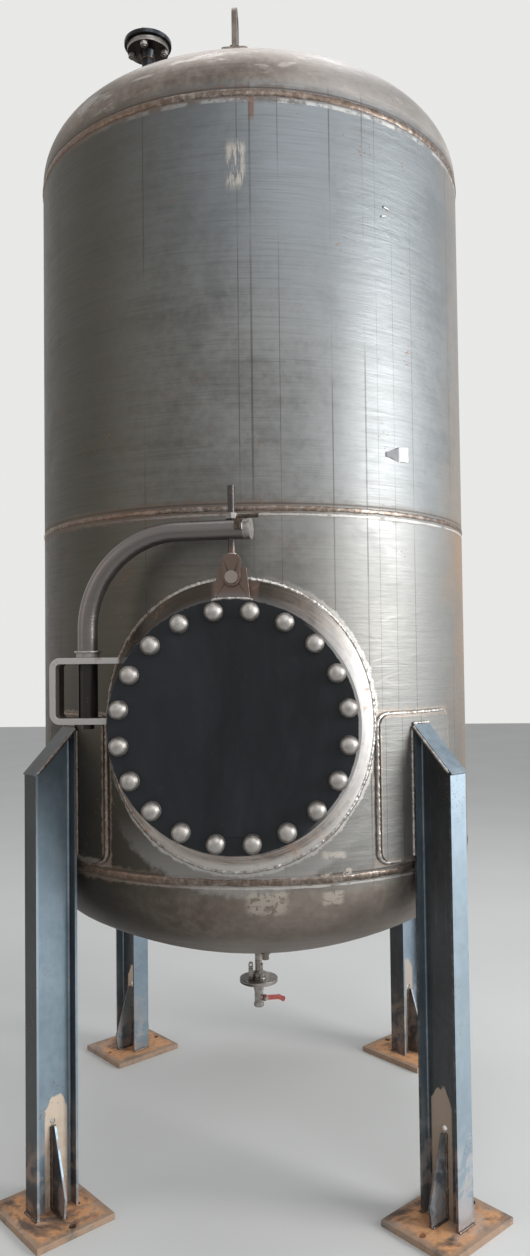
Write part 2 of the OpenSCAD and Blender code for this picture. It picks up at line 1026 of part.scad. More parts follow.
module drain_hub() {
    color(bare_steel)
        translate([0, 0, drain_plate_z])
            difference() {
                cylinder(d = hub_ring_d, h = hub_ring_h);
                translate([0, 0, -1])
                    cylinder(d = drain_pipe_d + 2 * weld_gap, h = hub_ring_h + 2);
            }
}

// upright plate with a round top and a hole, with its face to the front
module drain_lug() {
    r = drain_lug_w / 2;
    rotate([90, 0, 0])
        linear_extrude(drain_lug_t)
            difference() {
                union() {
                    translate([-r, 0])
                        square([drain_lug_w, drain_lug_h - r]);
                    translate([0, drain_lug_h - r])
                        circle(r = r);
                }
                translate([0, drain_lug_h - 12])
                    circle(d = 8);
            }
}

// one lug stands to the left of the pipe, and one stands edge-on in front of it
module drain_lugs() {
    color(bare_steel)
        translate([0, 0, drain_plate_z]) {
            translate([-27, -20, 0])
                drain_lug();
            translate([18, -38, 0])
                rotate([0, 0, -90])
                    drain_lug();
        }
}

// places its children on the valve stem, with +X along the stem
module at_stem() {
    translate([0, 0, valve_mid_z])
        rotate([0, 0, stem_angle])
            children();
}

module valve_body() {
    low = valve_top_z - valve_len;
    color(bright)
        difference() {
            union() {
                translate([0, 0, low + 12])
                    cylinder(d = valve_d, h = valve_len - 24);
                for (z = [low, valve_top_z - 14])
                    translate([0, 0, z])
                        linear_extrude(14)
                            hexagon(valve_af);
                at_stem()
                    rotate([0, 90, 0])
                        cylinder(d = boss_d, h = boss_reach);
            }
            translate([0, 0, low - 1])
                cylinder(d = valve_bore_d, h = valve_len + 2);
            at_stem()
                rotate([0, 90, 0])
                    cylinder(d = stem_d + 2 * run_gap, h = boss_reach + 1);
        }
}

module valve_stem() {
    color(bright)
        at_stem()
            translate([valve_bore_d / 2 + 1, 0, 0])
                rotate([0, 90, 0])
                    cylinder(d = stem_d, h = boss_reach + lever_t + 8 - valve_bore_d / 2);
}

module valve_lever() {
    straight = 0.7 * lever_len;
    tip = 0.25 * lever_len;
    from_hub = lever_hub_d / 4;
    color(red)
        at_stem()
            translate([boss_reach + 0.2, 0, 0])
                rotate([90, 0, 90])
                    linear_extrude(lever_t)
                        rotate(-lever_dip)
                            difference() {
                                union() {
                                    circle(d = lever_hub_d);
                                    translate([from_hub, -lever_w / 2])
                                        square([straight - from_hub, lever_w]);
                                    translate([straight, 0])
                                        rotate(-lever_bend)
                                            translate([-lever_w / 4, -lever_w / 2])
                                                square([tip + lever_w / 4, lever_w]);
                                    translate([straight + tip * cos(lever_bend), -tip * sin(lever_bend)])
                                        circle(d = lever_w + 2);
                                }
                                circle(d = stem_d + 2 * run_gap);
                            }
}

module lever_nut() {
    color(bright)
        at_stem()
            translate([boss_reach + lever_t + 0.2, 0, 0])
                rotate([0, 90, 0])
                    difference() {
                        linear_extrude(7)
                            hexagon(17);
                        translate([0, 0, -1])
                            cylinder(d = stem_d + 2 * run_gap, h = 9);
                    }
}

module drain_coupling() {
    r = norm([coupling_x, coupling_y]);
    surface_z = low_crown_z - sqrt(crown_r * crown_r - r * r);
    color(steel)
        difference() {
            translate([coupling_x, coupling_y, surface_z - 19])
                difference() {
                    cylinder(d = coupling_d, h = 60);
                    translate([0, 0, -1])
                        cylinder(d = coupling_d - 10, h = 14);
                }
            translate([0, 0, low_crown_z])
                sphere(r = crown_r + weld_gap, $fn = crown_fn);
        }
}

shell_lower();
shell_upper();
top_head();
bottom_head();
leg_pads();
legs();
leg_caps();
base_plates();
leg_gussets();
manhole_pad();
manhole_neck();
manhole_flange();
manhole_gasket();
manhole_cover();
manhole_bolts();
manhole_cap_nuts();
davit_bracket();
davit_arm();
davit_collar();
davit_end_cap();
arm_boss();
locking_pin();
hanger_rod();
hanger_nut();
hanger_clevis();
clevis_pin();
cover_lug();
nozzle_neck();
nozzle_flange();
nozzle_gasket();
nozzle_blind();
nozzle_bolts();
nozzle_nuts();
lifting_pads();
lifting_lugs();
drain_pipe();
drain_plate();
drain_hub();
drain_lugs();
valve_body();
valve_stem();
valve_lever();
lever_nut();
drain_coupling();
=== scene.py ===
import json
import math
import random

import bmesh
import bpy
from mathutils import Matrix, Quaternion, Vector


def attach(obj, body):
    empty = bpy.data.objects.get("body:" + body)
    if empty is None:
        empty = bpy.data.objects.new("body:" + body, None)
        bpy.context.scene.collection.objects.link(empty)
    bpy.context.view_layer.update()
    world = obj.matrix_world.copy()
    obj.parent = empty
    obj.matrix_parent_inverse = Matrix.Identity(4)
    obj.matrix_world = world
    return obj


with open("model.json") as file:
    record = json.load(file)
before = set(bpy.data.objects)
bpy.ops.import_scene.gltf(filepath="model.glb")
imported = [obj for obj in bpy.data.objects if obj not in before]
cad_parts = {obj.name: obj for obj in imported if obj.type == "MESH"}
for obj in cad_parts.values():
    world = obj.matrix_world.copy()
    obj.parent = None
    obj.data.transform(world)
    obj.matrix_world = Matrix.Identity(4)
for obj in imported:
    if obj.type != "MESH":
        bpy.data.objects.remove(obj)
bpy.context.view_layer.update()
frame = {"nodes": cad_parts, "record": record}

# A vertical pressure tank of raw steel on four legs: the steels and paints of its parts,
# the weld beads and small trim that the CAD leaves out, and the photo's camera and light.

NODES = frame["nodes"]
RNG = random.Random(11)
MM = 0.001
PI = math.pi

# sizes of the tank, in metres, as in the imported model
TANK_R = 0.764  # outside of the shell
SEAMS = {"lower": 1.052, "middle": 2.140, "upper": 3.383}
CROWN_R = 1.34464  # outside of both heads' crowns
TOP_CROWN_Z = 2.41636
LOW_CROWN_Z = 2.01864
MANHOLE_Z = 1.510
FACE_R = 0.7783  # outside of the manhole pad
PAD_R = 0.4225  # edge of the manhole pad, measured round the shell
NECK_R = 0.2690
COVER_R = 0.3575  # cover and flange
COVER_MID = 0.8630
FLANGE_BACK = 0.8060
CAP_SEAT = -0.8810
PIN_Z = 1.9285  # the clevis pin
PIN_FACE = -0.8860
LEG_FACE = 0.7786  # inner face of each leg
LEG_DEPTH = 0.140
LEG_MID = LEG_FACE + LEG_DEPTH / 2
LEG_HALF = 0.0365
LEG_PAD_HALF = 0.1670
LEG_PAD_LOW = 1.0820
LEG_PAD_HIGH = 1.5280
LEG_PAD_CORNER = 0.036
NOZZLE_X = 0.446 * math.cos(math.radians(-138))
NOZZLE_Y = 0.446 * math.sin(math.radians(-138))
FOOT_Z = 0.0215  # just over the base plates
DRAIN_PLATE_Z = 0.5228


# ---------------------------------------------------------------- shader help


class Tree:
    """Adds and links the nodes of one shader tree or node group."""

    def __init__(self, tree):
        self.tree = tree

    def fill(self, made, values):
        """Links a socket to each input of a node, or sets its value."""
        for key, value in values.items():
            if isinstance(value, bpy.types.NodeSocket):
                self.tree.links.new(value, made.inputs[key])
            else:
                made.inputs[key].default_value = value
        return made

    def add(self, kind, values=None, **settings):
        made = self.tree.nodes.new(kind)
        for key, value in settings.items():
            setattr(made, key, value)
        return self.fill(made, values or {})

    def use(self, group, values):
        """Places a node group and gives its outputs."""
        return self.fill(self.add("ShaderNodeGroup", node_tree=group), values).outputs

    def calc(self, how, a, b=0.0, c=0.0):
        return self.add("ShaderNodeMath", {0: a, 1: b, 2: c}, operation=how).outputs[0]

    def step(self, value, low, high):
        """A smooth step from 0 to 1 as the value goes from low to high."""
        made = self.add("ShaderNodeMapRange", {"Value": value, "From Min": low, "From Max": high},
                        interpolation_type="SMOOTHSTEP")
        return made.outputs["Result"]

    def span(self, value, low, high):
        """Spreads a value of 0 to 1 over low to high."""
        return self.add("ShaderNodeMapRange",
                        {"Value": value, "To Min": low, "To Max": high}).outputs["Result"]

    def between(self, value, start, end):
        """Near 1 from the start to the end; each is a pair of values that gives its soft edge."""
        return self.both(self.step(value, *start), self.step(value, *end))

    def plus(self, a, b):
        return self.calc("ADD", a, b)

    def minus(self, a, b):
        return self.calc("SUBTRACT", a, b)

    def size(self, a):
        """The value without its sign."""
        return self.calc("ABSOLUTE", a)

    def length(self, a, b):
        return self.calc("SQRT", self.plus(self.both(a, a), self.both(b, b)))

    def both(self, a, b):
        return self.calc("MULTIPLY", a, b)

    def either(self, a, b):
        return self.calc("MAXIMUM", a, b)

    def part(self, a, much):
        return self.calc("MULTIPLY", a, much)

    def blend(self, mask, a, b):
        """Mixes from colour a to colour b; the numbers are the colour inputs of a Mix node."""
        return self.add("ShaderNodeMix", {0: mask, 6: a, 7: b}, data_type="RGBA").outputs[2]

    def tint(self, colour, mask, much, new):
        """Blends a share of a new colour over a colour, where the mask is."""
        return self.blend(self.part(mask, much), colour,
                          new if isinstance(new, bpy.types.NodeSocket) else (*new, 1))

    def ramp(self, value, stops):
        made = self.add("ShaderNodeValToRGB", {"Fac": value})
        marks = made.color_ramp.elements
        while len(marks) < len(stops):
            marks.new(0.5)
        for mark, (at, colour) in zip(marks, stops):
            mark.position = at
            mark.color = (*colour, 1)
        return made.outputs["Color"]

    def stretch(self, vector, x, y, z):
        made = self.add("ShaderNodeVectorMath", {0: vector, 1: (x, y, z)}, operation="MULTIPLY")
        return made.outputs[0]

    def noise(self, vector, scale, detail=3.0, rough=0.55, warp=0.0):
        values = {"Vector": vector, "Scale": scale, "Detail": detail, "Roughness": rough,
                  "Distortion": warp}
        return self.add("ShaderNodeTexNoise", values).outputs["Fac"]

    def axes(self, vector):
        made = self.add("ShaderNodeSeparateXYZ", {0: vector})
        return made.outputs["X"], made.outputs["Y"], made.outputs["Z"]


def group(name, takes, gives, build):
    """Makes a node group; build gets the tree and its inputs, and returns the outputs by name."""
    made = bpy.data.node_groups.new(name, "ShaderNodeTree")
    for key, kind, value in takes:
        socket = made.interface.new_socket(key, in_out="INPUT", socket_type=kind)
        if value is not None:
            socket.default_value = value
    for key, kind in gives:
        made.interface.new_socket(key, in_out="OUTPUT", socket_type=kind)
    tree = Tree(made)
    inside = made.nodes.new("NodeGroupInput")
    outside = made.nodes.new("NodeGroupOutput")
    for key, socket in build(tree, inside.outputs).items():
        made.links.new(socket, outside.inputs[key])
    return made


VEC = "NodeSocketVector"
NUM = "NodeSocketFloat"


def polar_inside(t, given):
    """The angle in degrees from the front, the distance from the axis, and the height."""
    x, y, z = t.axes(given["Vector"])
    turn = t.calc("ARCTAN2", x, t.part(y, -1.0))
    reach = t.length(x, y)
    return {"Angle": t.part(turn, 180 / PI), "Radius": reach, "Height": z}


def mottle_inside(t, given):
    """Cloudy patches, coarse and fine."""
    big = t.noise(given["Vector"], 5.0, 6.0, 0.62, 0.5)
    small = t.noise(given["Vector"], 42.0, 5.0, 0.6, 0.2)
    mixed = t.calc("MULTIPLY_ADD", small, 0.35, t.part(big, 0.65))
    return {"Coarse": t.step(mixed, 0.34, 0.66), "Fine": small}


def streak_inside(t, given):
    """Level streaks, broad and thin."""
    broad = t.noise(t.stretch(given["Vector"], 1.1, 1.1, 34.0), 1.0, 4.0, 0.6)
    thin = t.noise(t.stretch(given["Vector"], 6.0, 6.0, 330.0), 1.0, 3.0, 0.6)
    return {"Broad": t.step(broad, 0.3, 0.7), "Thin": thin}


def band_inside(t, given):
    """A band of a value about a centre, with ragged edges."""
    away = t.size(t.minus(given["Value"], given["Centre"]))
    wobble = t.minus(t.noise(given["Vector"], 38.0, 4.0, 0.65), 0.5)
    edge = t.calc("MULTIPLY_ADD", wobble, given["Ragged"], away)
    inner = t.part(given["Half"], 0.55)
    made = t.add("ShaderNodeMapRange", {"Value": edge, "From Min": inner, "From Max": given["Half"],
                                        "To Min": 1.0, "To Max": 0.0}, interpolation_type="SMOOTHSTEP")
    return {"Mask": made.outputs["Result"]}


def leg_inside(t, given):
    """The distance out along the nearest leg's web, and away from it to the side."""
    x, y, z = t.axes(given["Vector"])
    ax = t.size(x)
    ay = t.size(y)
    out = t.part(t.plus(ax, ay), math.sqrt(0.5))
    side = t.part(t.minus(ax, ay), math.sqrt(0.5))
    return {"Out": out, "Side": t.size(side), "Height": z}


def speck_inside(t, given):
    """Small round specks that gather in places."""
    cells = t.add("ShaderNodeTexVoronoi", {"Vector": given["Vector"], "Scale": given["Scale"]})
    near = cells.outputs["Distance"]
    where = t.noise(given["Vector"], 7.0, 4.0, 0.6)
    reach = t.part(t.step(where, 0.45, 0.75), given["Size"])
    return {"Mask": t.step(t.minus(reach, near), 0.0, 0.06)}


POLAR = group("polar", [("Vector", VEC, None)], [("Angle", NUM), ("Radius", NUM), ("Height", NUM)],
              polar_inside)
MOTTLE = group("mottle", [("Vector", VEC, None)], [("Coarse", NUM), ("Fine", NUM)], mottle_inside)
STREAK = group("streak", [("Vector", VEC, None)], [("Broad", NUM), ("Thin", NUM)], streak_inside)
BAND = group("band", [("Vector", VEC, None), ("Value", NUM, 0.0), ("Centre", NUM, 0.0),
                      ("Half", NUM, 0.02), ("Ragged", NUM, 0.02)], [("Mask", NUM)], band_inside)
LEG = group("leg", [("Vector", VEC, None)], [("Out", NUM), ("Side", NUM), ("Height", NUM)], leg_inside)
SPECK = group("speck", [("Vector", VEC, None), ("Scale", NUM, 60.0), ("Size", NUM, 0.2)],
              [("Mask", NUM)], speck_inside)


class Paint(Tree):
    """One material with a Principled shader and the object's own coordinates."""

    def __init__(self, name):
        self.material = bpy.data.materials.new(name)
        self.material.use_nodes = True
        super().__init__(self.material.node_tree)
        self.shader = self.tree.nodes["Principled BSDF"]
        self.place = self.add("ShaderNodeTexCoord").outputs["Object"]

    def finish(self, colour, rough, metal, height=None, depth=0.001, strength=0.4):
        """Feeds the shader, with a bump from the height where there is one."""
        self.fill(self.shader, {"Base Color": colour, "Roughness": rough, "Metallic": metal})
        if height is not None:
            bump = self.add("ShaderNodeBump",
                            {"Height": height, "Strength": strength, "Distance": depth})
            self.fill(self.shader, {"Normal": bump.outputs["Normal"]})
        return self.material


# ------------------------------------------------------------------ materials


def shell_steel():
    """Rolled plate with mill scale, level streaks, heat tint at the seams and rust at the right, with
    painted light on its right and painted shade on its left and low down.
    """
    p = Paint("shell_steel")
    at = p.place
    angle, radius, z = (p.use(POLAR, {"Vector": at})[k] for k in ("Angle", "Radius", "Height"))
    coarse, fine = (p.use(MOTTLE, {"Vector": at})[k] for k in ("Coarse", "Fine"))
    broad, thin = (p.use(STREAK, {"Vector": at})[k] for k in ("Broad", "Thin"))

    def band(value, centre, half, ragged):
        return p.use(BAND, {"Vector": at, "Value": value, "Centre": centre, "Half": half,
                            "Ragged": ragged})["Mask"]

    colour = p.ramp(coarse, [(0.0, (0.108, 0.105, 0.096)), (0.45, (0.147, 0.144, 0.135)),
                             (1.0, (0.198, 0.196, 0.186))])
    colour = p.tint(colour, broad, 0.40, (0.205, 0.208, 0.206))
    front = p.step(p.size(angle), 150.0, 100.0)
    cool = p.both(p.both(p.step(z, 2.45, 3.20), p.step(angle, -55.0, 5.0)), front)
    colour = p.tint(colour, cool, 0.50, (0.150, 0.174, 0.200))
    colour = p.tint(colour, p.step(thin, 0.52, 0.72), 0.22, (0.045, 0.043, 0.041))
    # painted light: the right of the front course is lightened and cooled where the lamps fall
    bright = p.both(p.both(p.step(angle, 0.0, 30.0), p.step(z, 1.85, 2.30)), front)
    colour = p.tint(colour, bright, 0.45, (0.225, 0.240, 0.255))
    # painted shade darkens the left side; the lower course is browner, and the far right rusts
    painted_shade_left = p.both(p.step(angle, 2.0, -38.0), front)
    colour = p.tint(colour, painted_shade_left, 0.80, (0.044, 0.040, 0.028))
    colour = p.tint(colour, p.step(z, 2.35, 1.75), 0.42, (0.140, 0.118, 0.095))
    # painted light: the right front below the middle seam is lightened where the lamps fall
    painted_lit_low = p.both(p.both(p.step(angle, 4.0, 30.0), p.step(z, 2.150, 2.110)), front)
    colour = p.tint(colour, painted_lit_low, 0.50, (0.256, 0.254, 0.248))
    wave = p.part(p.minus(p.noise(p.stretch(at, 2.0, 2.0, 5.0), 1.0, 5.0, 0.6), 0.5), 30.0)
    wavy = p.plus(angle, wave)
    edge = p.between(wavy, (55.0, 72.0), (100.0, 82.0))
    stain = p.step(p.noise(p.stretch(at, 4.0, 4.0, 1.6), 1.0, 5.0, 0.65, 0.6), 0.36, 0.62)
    right = p.both(p.both(edge, p.span(stain, 0.35, 1.0)), p.span(fine, 0.55, 1.0))
    low_right = p.both(right, p.step(z, 2.190, 2.110))
    colour = p.tint(colour, right, 0.70, (0.255, 0.180, 0.120))
    colour = p.tint(colour, low_right, 0.60, (0.290, 0.150, 0.070))
    # the heads are warmer
    head = p.either(p.step(z, 3.386, 3.440), p.step(z, 1.045, 0.990))
    warm = p.ramp(coarse, [(0.0, (0.104, 0.079, 0.062)), (0.5, (0.166, 0.132, 0.108)),
                           (1.0, (0.236, 0.199, 0.170))])
    colour = p.tint(colour, head, 0.85, warm)
    # painted highlight across the middle of the bottom head
    belly_highlight = p.both(p.step(z, 1.045, 1.010), p.between(angle, (-14.0, 6.0), (60.0, 30.0)))
    colour = p.tint(colour, belly_highlight, 0.32, (0.330, 0.285, 0.250))
    # painted highlight: a pale reflection band on the top head's skirt, right of the front
    brow_highlight = p.both(p.step(z, 3.400, 3.430), p.both(p.step(angle, 6.0, 32.0), front))
    colour = p.tint(colour, brow_highlight, 0.55, (0.430, 0.408, 0.395))
    # painted shade: the left of the lower course and of the bottom head is darkened
    deep = p.either(p.part(p.step(z, 2.150, 2.110), 0.36), p.step(z, 1.75, 1.15))
    painted_shade_low = p.both(p.both(p.step(angle, 0.0, -34.0), deep), front)
    colour = p.tint(colour, painted_shade_low, 0.84, (0.026, 0.023, 0.017))
    tube = p.step(radius, 0.786, 0.792)
    colour = p.tint(colour, tube, 0.80, (0.168, 0.150, 0.145))
    # painted shade: the davit post is near black between the bracket plates
    post_shade = p.both(tube, p.step(z, 1.702, 1.692))
    colour = p.tint(colour, post_shade, 0.88, (0.018, 0.016, 0.016))
    # painted glints: pale reflection streaks on the top head
    glint = p.step(p.noise(p.stretch(at, 7.0, 7.0, 26.0), 1.0, 5.0, 0.62, 0.5), 0.54, 0.66)
    glint = p.both(p.both(glint, p.between(z, (3.400, 3.420), (3.620, 3.520))), p.both(head, front))
    colour = p.tint(colour, glint, 0.55, (0.430, 0.400, 0.375))
    # thin upright lines on the courses
    course = p.minus(1.0, p.either(head, tube))
    gaps = p.step(p.noise(p.stretch(at, 3.0, 3.0, 1.2), 1.0, 3.0, 0.6), 0.36, 0.56)
    for spot, half in ((1.28, 0.16), (4.16, 0.30), (10.38, 0.12), (22.44, 0.20), (30.92, 0.24),
                       (34.3, 0.10), (39.2, 0.10), (45.5, 0.14), (-21.0, 0.18), (-52.0, 0.22),
                       (64.0, 0.20), (118.0, 0.25), (-140.0, 0.25), (171.0, 0.2)):
        line = p.both(band(angle, spot, half, 0.06), p.both(gaps, course))
        colour = p.tint(colour, line, 0.55, (0.050, 0.042, 0.036))
    # brown heat tint at each girth seam, a painted shadow line just above it and a painted highlight
    # line below it
    tanned = None
    for seam in SEAMS.values():
        here = p.both(band(z, seam, 0.030, 0.044), p.span(p.step(angle, 30.0, 0.0), 0.35, 1.0))
        tanned = here if tanned is None else p.either(tanned, here)
    colour = p.tint(colour, tanned, 0.62, (0.135, 0.088, 0.062))
    for seam in SEAMS.values():
        colour = p.tint(colour, band(z, seam + 0.0150, 0.0035, 0.004), 0.55, (0.034, 0.026, 0.022))
        start, wide = (0.42, 0.0085) if seam == SEAMS["upper"] else (0.34, 0.0040)
        gone = p.step(p.noise(at, 19.0, 5.0, 0.7), start, start + 0.16)
        pale = p.both(p.both(p.step(angle, -50.0, 30.0), front), gone)
        seam_highlight = p.both(band(z, seam - 0.0130 - wide, wide, 0.4 * wide + 0.009), pale)
        colour = p.tint(colour, seam_highlight, 0.62, (0.560, 0.540, 0.520))
    # spatter and bare metal round the pads, and a painted pale glow below the manhole pad
    ground = p.part(angle, PI / 180 * TANK_R)
    drop = p.minus(z, MANHOLE_Z)
    from_hole = p.length(ground, drop)
    ring = p.both(band(from_hole, 0.428, 0.016, 0.030), p.step(p.minus(ground, drop), -0.45, 0.15))
    colour = p.tint(colour, ring, 0.70, (0.500, 0.475, 0.450))
    # painted light: a pale glow low round the manhole pad
    glow = p.both(band(from_hole, 0.450, 0.060, 0.06), p.step(z, 1.25, 1.05))
    colour = p.tint(colour, glow, 0.35, (0.480, 0.470, 0.460))
    fold = p.size(p.minus(p.size(p.minus(p.size(angle), 90.0)), 45.0))  # degrees from the nearest leg
    over = p.minus(p.part(fold, PI / 180 * TANK_R), 0.166)
    tall = p.minus(p.size(p.minus(z, 1.305)), 0.220)
    frame_edge = band(p.either(over, tall), 0.004, 0.016, 0.026)
    colour = p.tint(colour, frame_edge, 0.50, (0.330, 0.260, 0.215))
    # scraped patches with upright strokes
    strokes = p.step(p.noise(p.stretch(at, 95.0, 95.0, 13.0), 1.0, 4.0, 0.65, 0.5), 0.42, 0.54)
    chips = p.step(p.noise(at, 36.0, 5.0, 0.65, 0.8), 0.42, 0.49)
    bare = None
    for turn, half_turn, middle, half, kind in (
            (1.0, 2.6, 3.165, 0.085, strokes), (6.2, 5.6, 0.990, 0.042, chips),
            (21.4, 3.4, 1.122, 0.013, chips), (19.4, 1.6, 1.060, 0.014, chips),
            (24.0, 1.8, 1.070, 0.010, chips), (21.0, 3.0, 0.996, 0.024, chips)):
        patch = p.both(p.both(band(angle, turn, half_turn, 1.0), band(z, middle, half, 0.02)), kind)
        bare = patch if bare is None else p.either(bare, patch)
    colour = p.tint(colour, bare, 0.66, (0.470, 0.420, 0.365))
    drip = p.both(band(angle, 4.7, 0.75, 0.7), band(z, 3.350, 0.055, 0.03))
    colour = p.tint(colour, drip, 0.70, (0.150, 0.070, 0.040))
    pits = p.use(SPECK, {"Vector": at, "Scale": 70.0, "Size": 0.30})["Mask"]
    colour = p.tint(colour, pits, 0.55, (0.230, 0.115, 0.060))

    rough = p.calc("MULTIPLY_ADD", coarse, 0.10, p.span(thin, 0.34, 0.54))
    rough = p.plus(rough, p.part(p.either(tanned, pits), 0.14))
    rough = p.minus(rough, p.part(tube, 0.14))
    metal = p.span(p.either(tanned, right), 0.86, 0.40)
    ripple = p.noise(p.stretch(at, 8.0, 8.0, 30.0), 1.0, 4.0, 0.55, 1.2)
    ripple = p.both(ripple, p.between(angle, (14.0, 30.0), (62.0, 48.0)))
    height = p.calc("MULTIPLY_ADD", broad, 0.5, p.part(thin, 0.35))
    height = p.calc("MULTIPLY_ADD", ripple, 1.6, height)
    return p.finish(colour, rough, metal, height, 0.0022, 0.30)


def leg_steel():
    """Section steel: a painted blue reflection where it faces right, painted brown shade where it faces
    left, burnt webs at the foot.
    """
    p = Paint("leg_steel")
    at = p.place
    coarse, fine = (p.use(MOTTLE, {"Vector": at})[k] for k in ("Coarse", "Fine"))
    leg = p.use(LEG, {"Vector": at})
    out, side, z = leg["Out"], leg["Side"], leg["Height"]
    x = p.axes(at)[0]
    facing = p.axes(p.add("ShaderNodeNewGeometry").outputs["Normal"])[0]
    grain = p.noise(p.stretch(at, 160.0, 160.0, 6.0), 1.0, 4.0, 0.6)
    colour = p.ramp(coarse, [(0.0, (0.122, 0.162, 0.203)), (0.5, (0.188, 0.236, 0.285)),
                             (1.0, (0.264, 0.316, 0.368))])
    # painted shade: faces turned to the left are darkened to brown
    colour = p.tint(colour, p.step(facing, 0.15, -0.35), 0.85, (0.050, 0.043, 0.038))
    # painted reflection: faces turned to the right take a pale blue
    colour = p.tint(colour, p.step(facing, 0.30, 0.70), 0.52, (0.330, 0.420, 0.488))
    # painted highlight: a paler blue on the outer flanges that face right
    flange = p.both(p.step(out, 0.908, 0.914), p.step(facing, 0.30, 0.70))
    colour = p.tint(colour, flange, 0.35, (0.500, 0.580, 0.640))
    colour = p.tint(colour, p.step(z, 3.0, 3.1), 0.92, (0.016, 0.015, 0.016))
    web = p.both(p.step(side, 0.012, 0.008), p.between(out, (0.780, 0.792), (0.915, 0.905)))
    ragged = p.part(p.minus(p.noise(at, 24.0, 4.0, 0.6), 0.5), 0.05)
    along = p.size(p.minus(out, LEG_MID - 0.012))
    arch = p.plus(p.plus(z, ragged), p.part(p.step(along, 0.012, 0.038), 0.04))
    arch = p.minus(arch, p.part(p.step(x, -0.1, 0.1), 0.040))
    burnt = p.both(p.both(p.step(arch, 0.366, 0.358), p.step(along, 0.041, 0.035)), web)
    colour = p.tint(colour, burnt, 0.75, (0.430, 0.330, 0.250))
    # painted light: the burnt patch is paler on the left-hand legs and stays greyer on the right-hand
    # legs, as in shade
    colour = p.tint(colour, p.both(burnt, p.step(x, 0.1, -0.1)), 0.60, (0.700, 0.560, 0.430))
    low = p.both(p.step(z, 0.36, 0.16), p.step(p.noise(at, 15.0, 6.0, 0.7, 0.5), 0.44, 0.60))
    colour = p.tint(colour, low, 0.45, (0.360, 0.235, 0.165))
    rust = p.either(burnt, low)
    foot = p.both(p.step(z, 0.075, 0.025), p.step(fine, 0.40, 0.62))
    colour = p.tint(colour, foot, 0.50, (0.260, 0.150, 0.095))
    worn = p.both(p.step(side, 0.0335, 0.0362), p.step(fine, 0.45, 0.65))
    colour = p.tint(colour, worn, 0.28, (0.260, 0.275, 0.300))
    pits = p.use(SPECK, {"Vector": at, "Scale": 95.0, "Size": 0.32})["Mask"]
    colour = p.tint(colour, pits, 0.6, (0.250, 0.130, 0.075))
    colour = p.tint(colour, p.step(grain, 0.56, 0.74), 0.25, (0.190, 0.195, 0.205))
    rough = p.plus(p.span(fine, 0.28, 0.50), p.part(rust, 0.3))
    metal = p.span(p.either(rust, foot), 0.85, 0.15)
    return p.finish(colour, rough, metal, p.plus(fine, grain), 0.0008, 0.35)


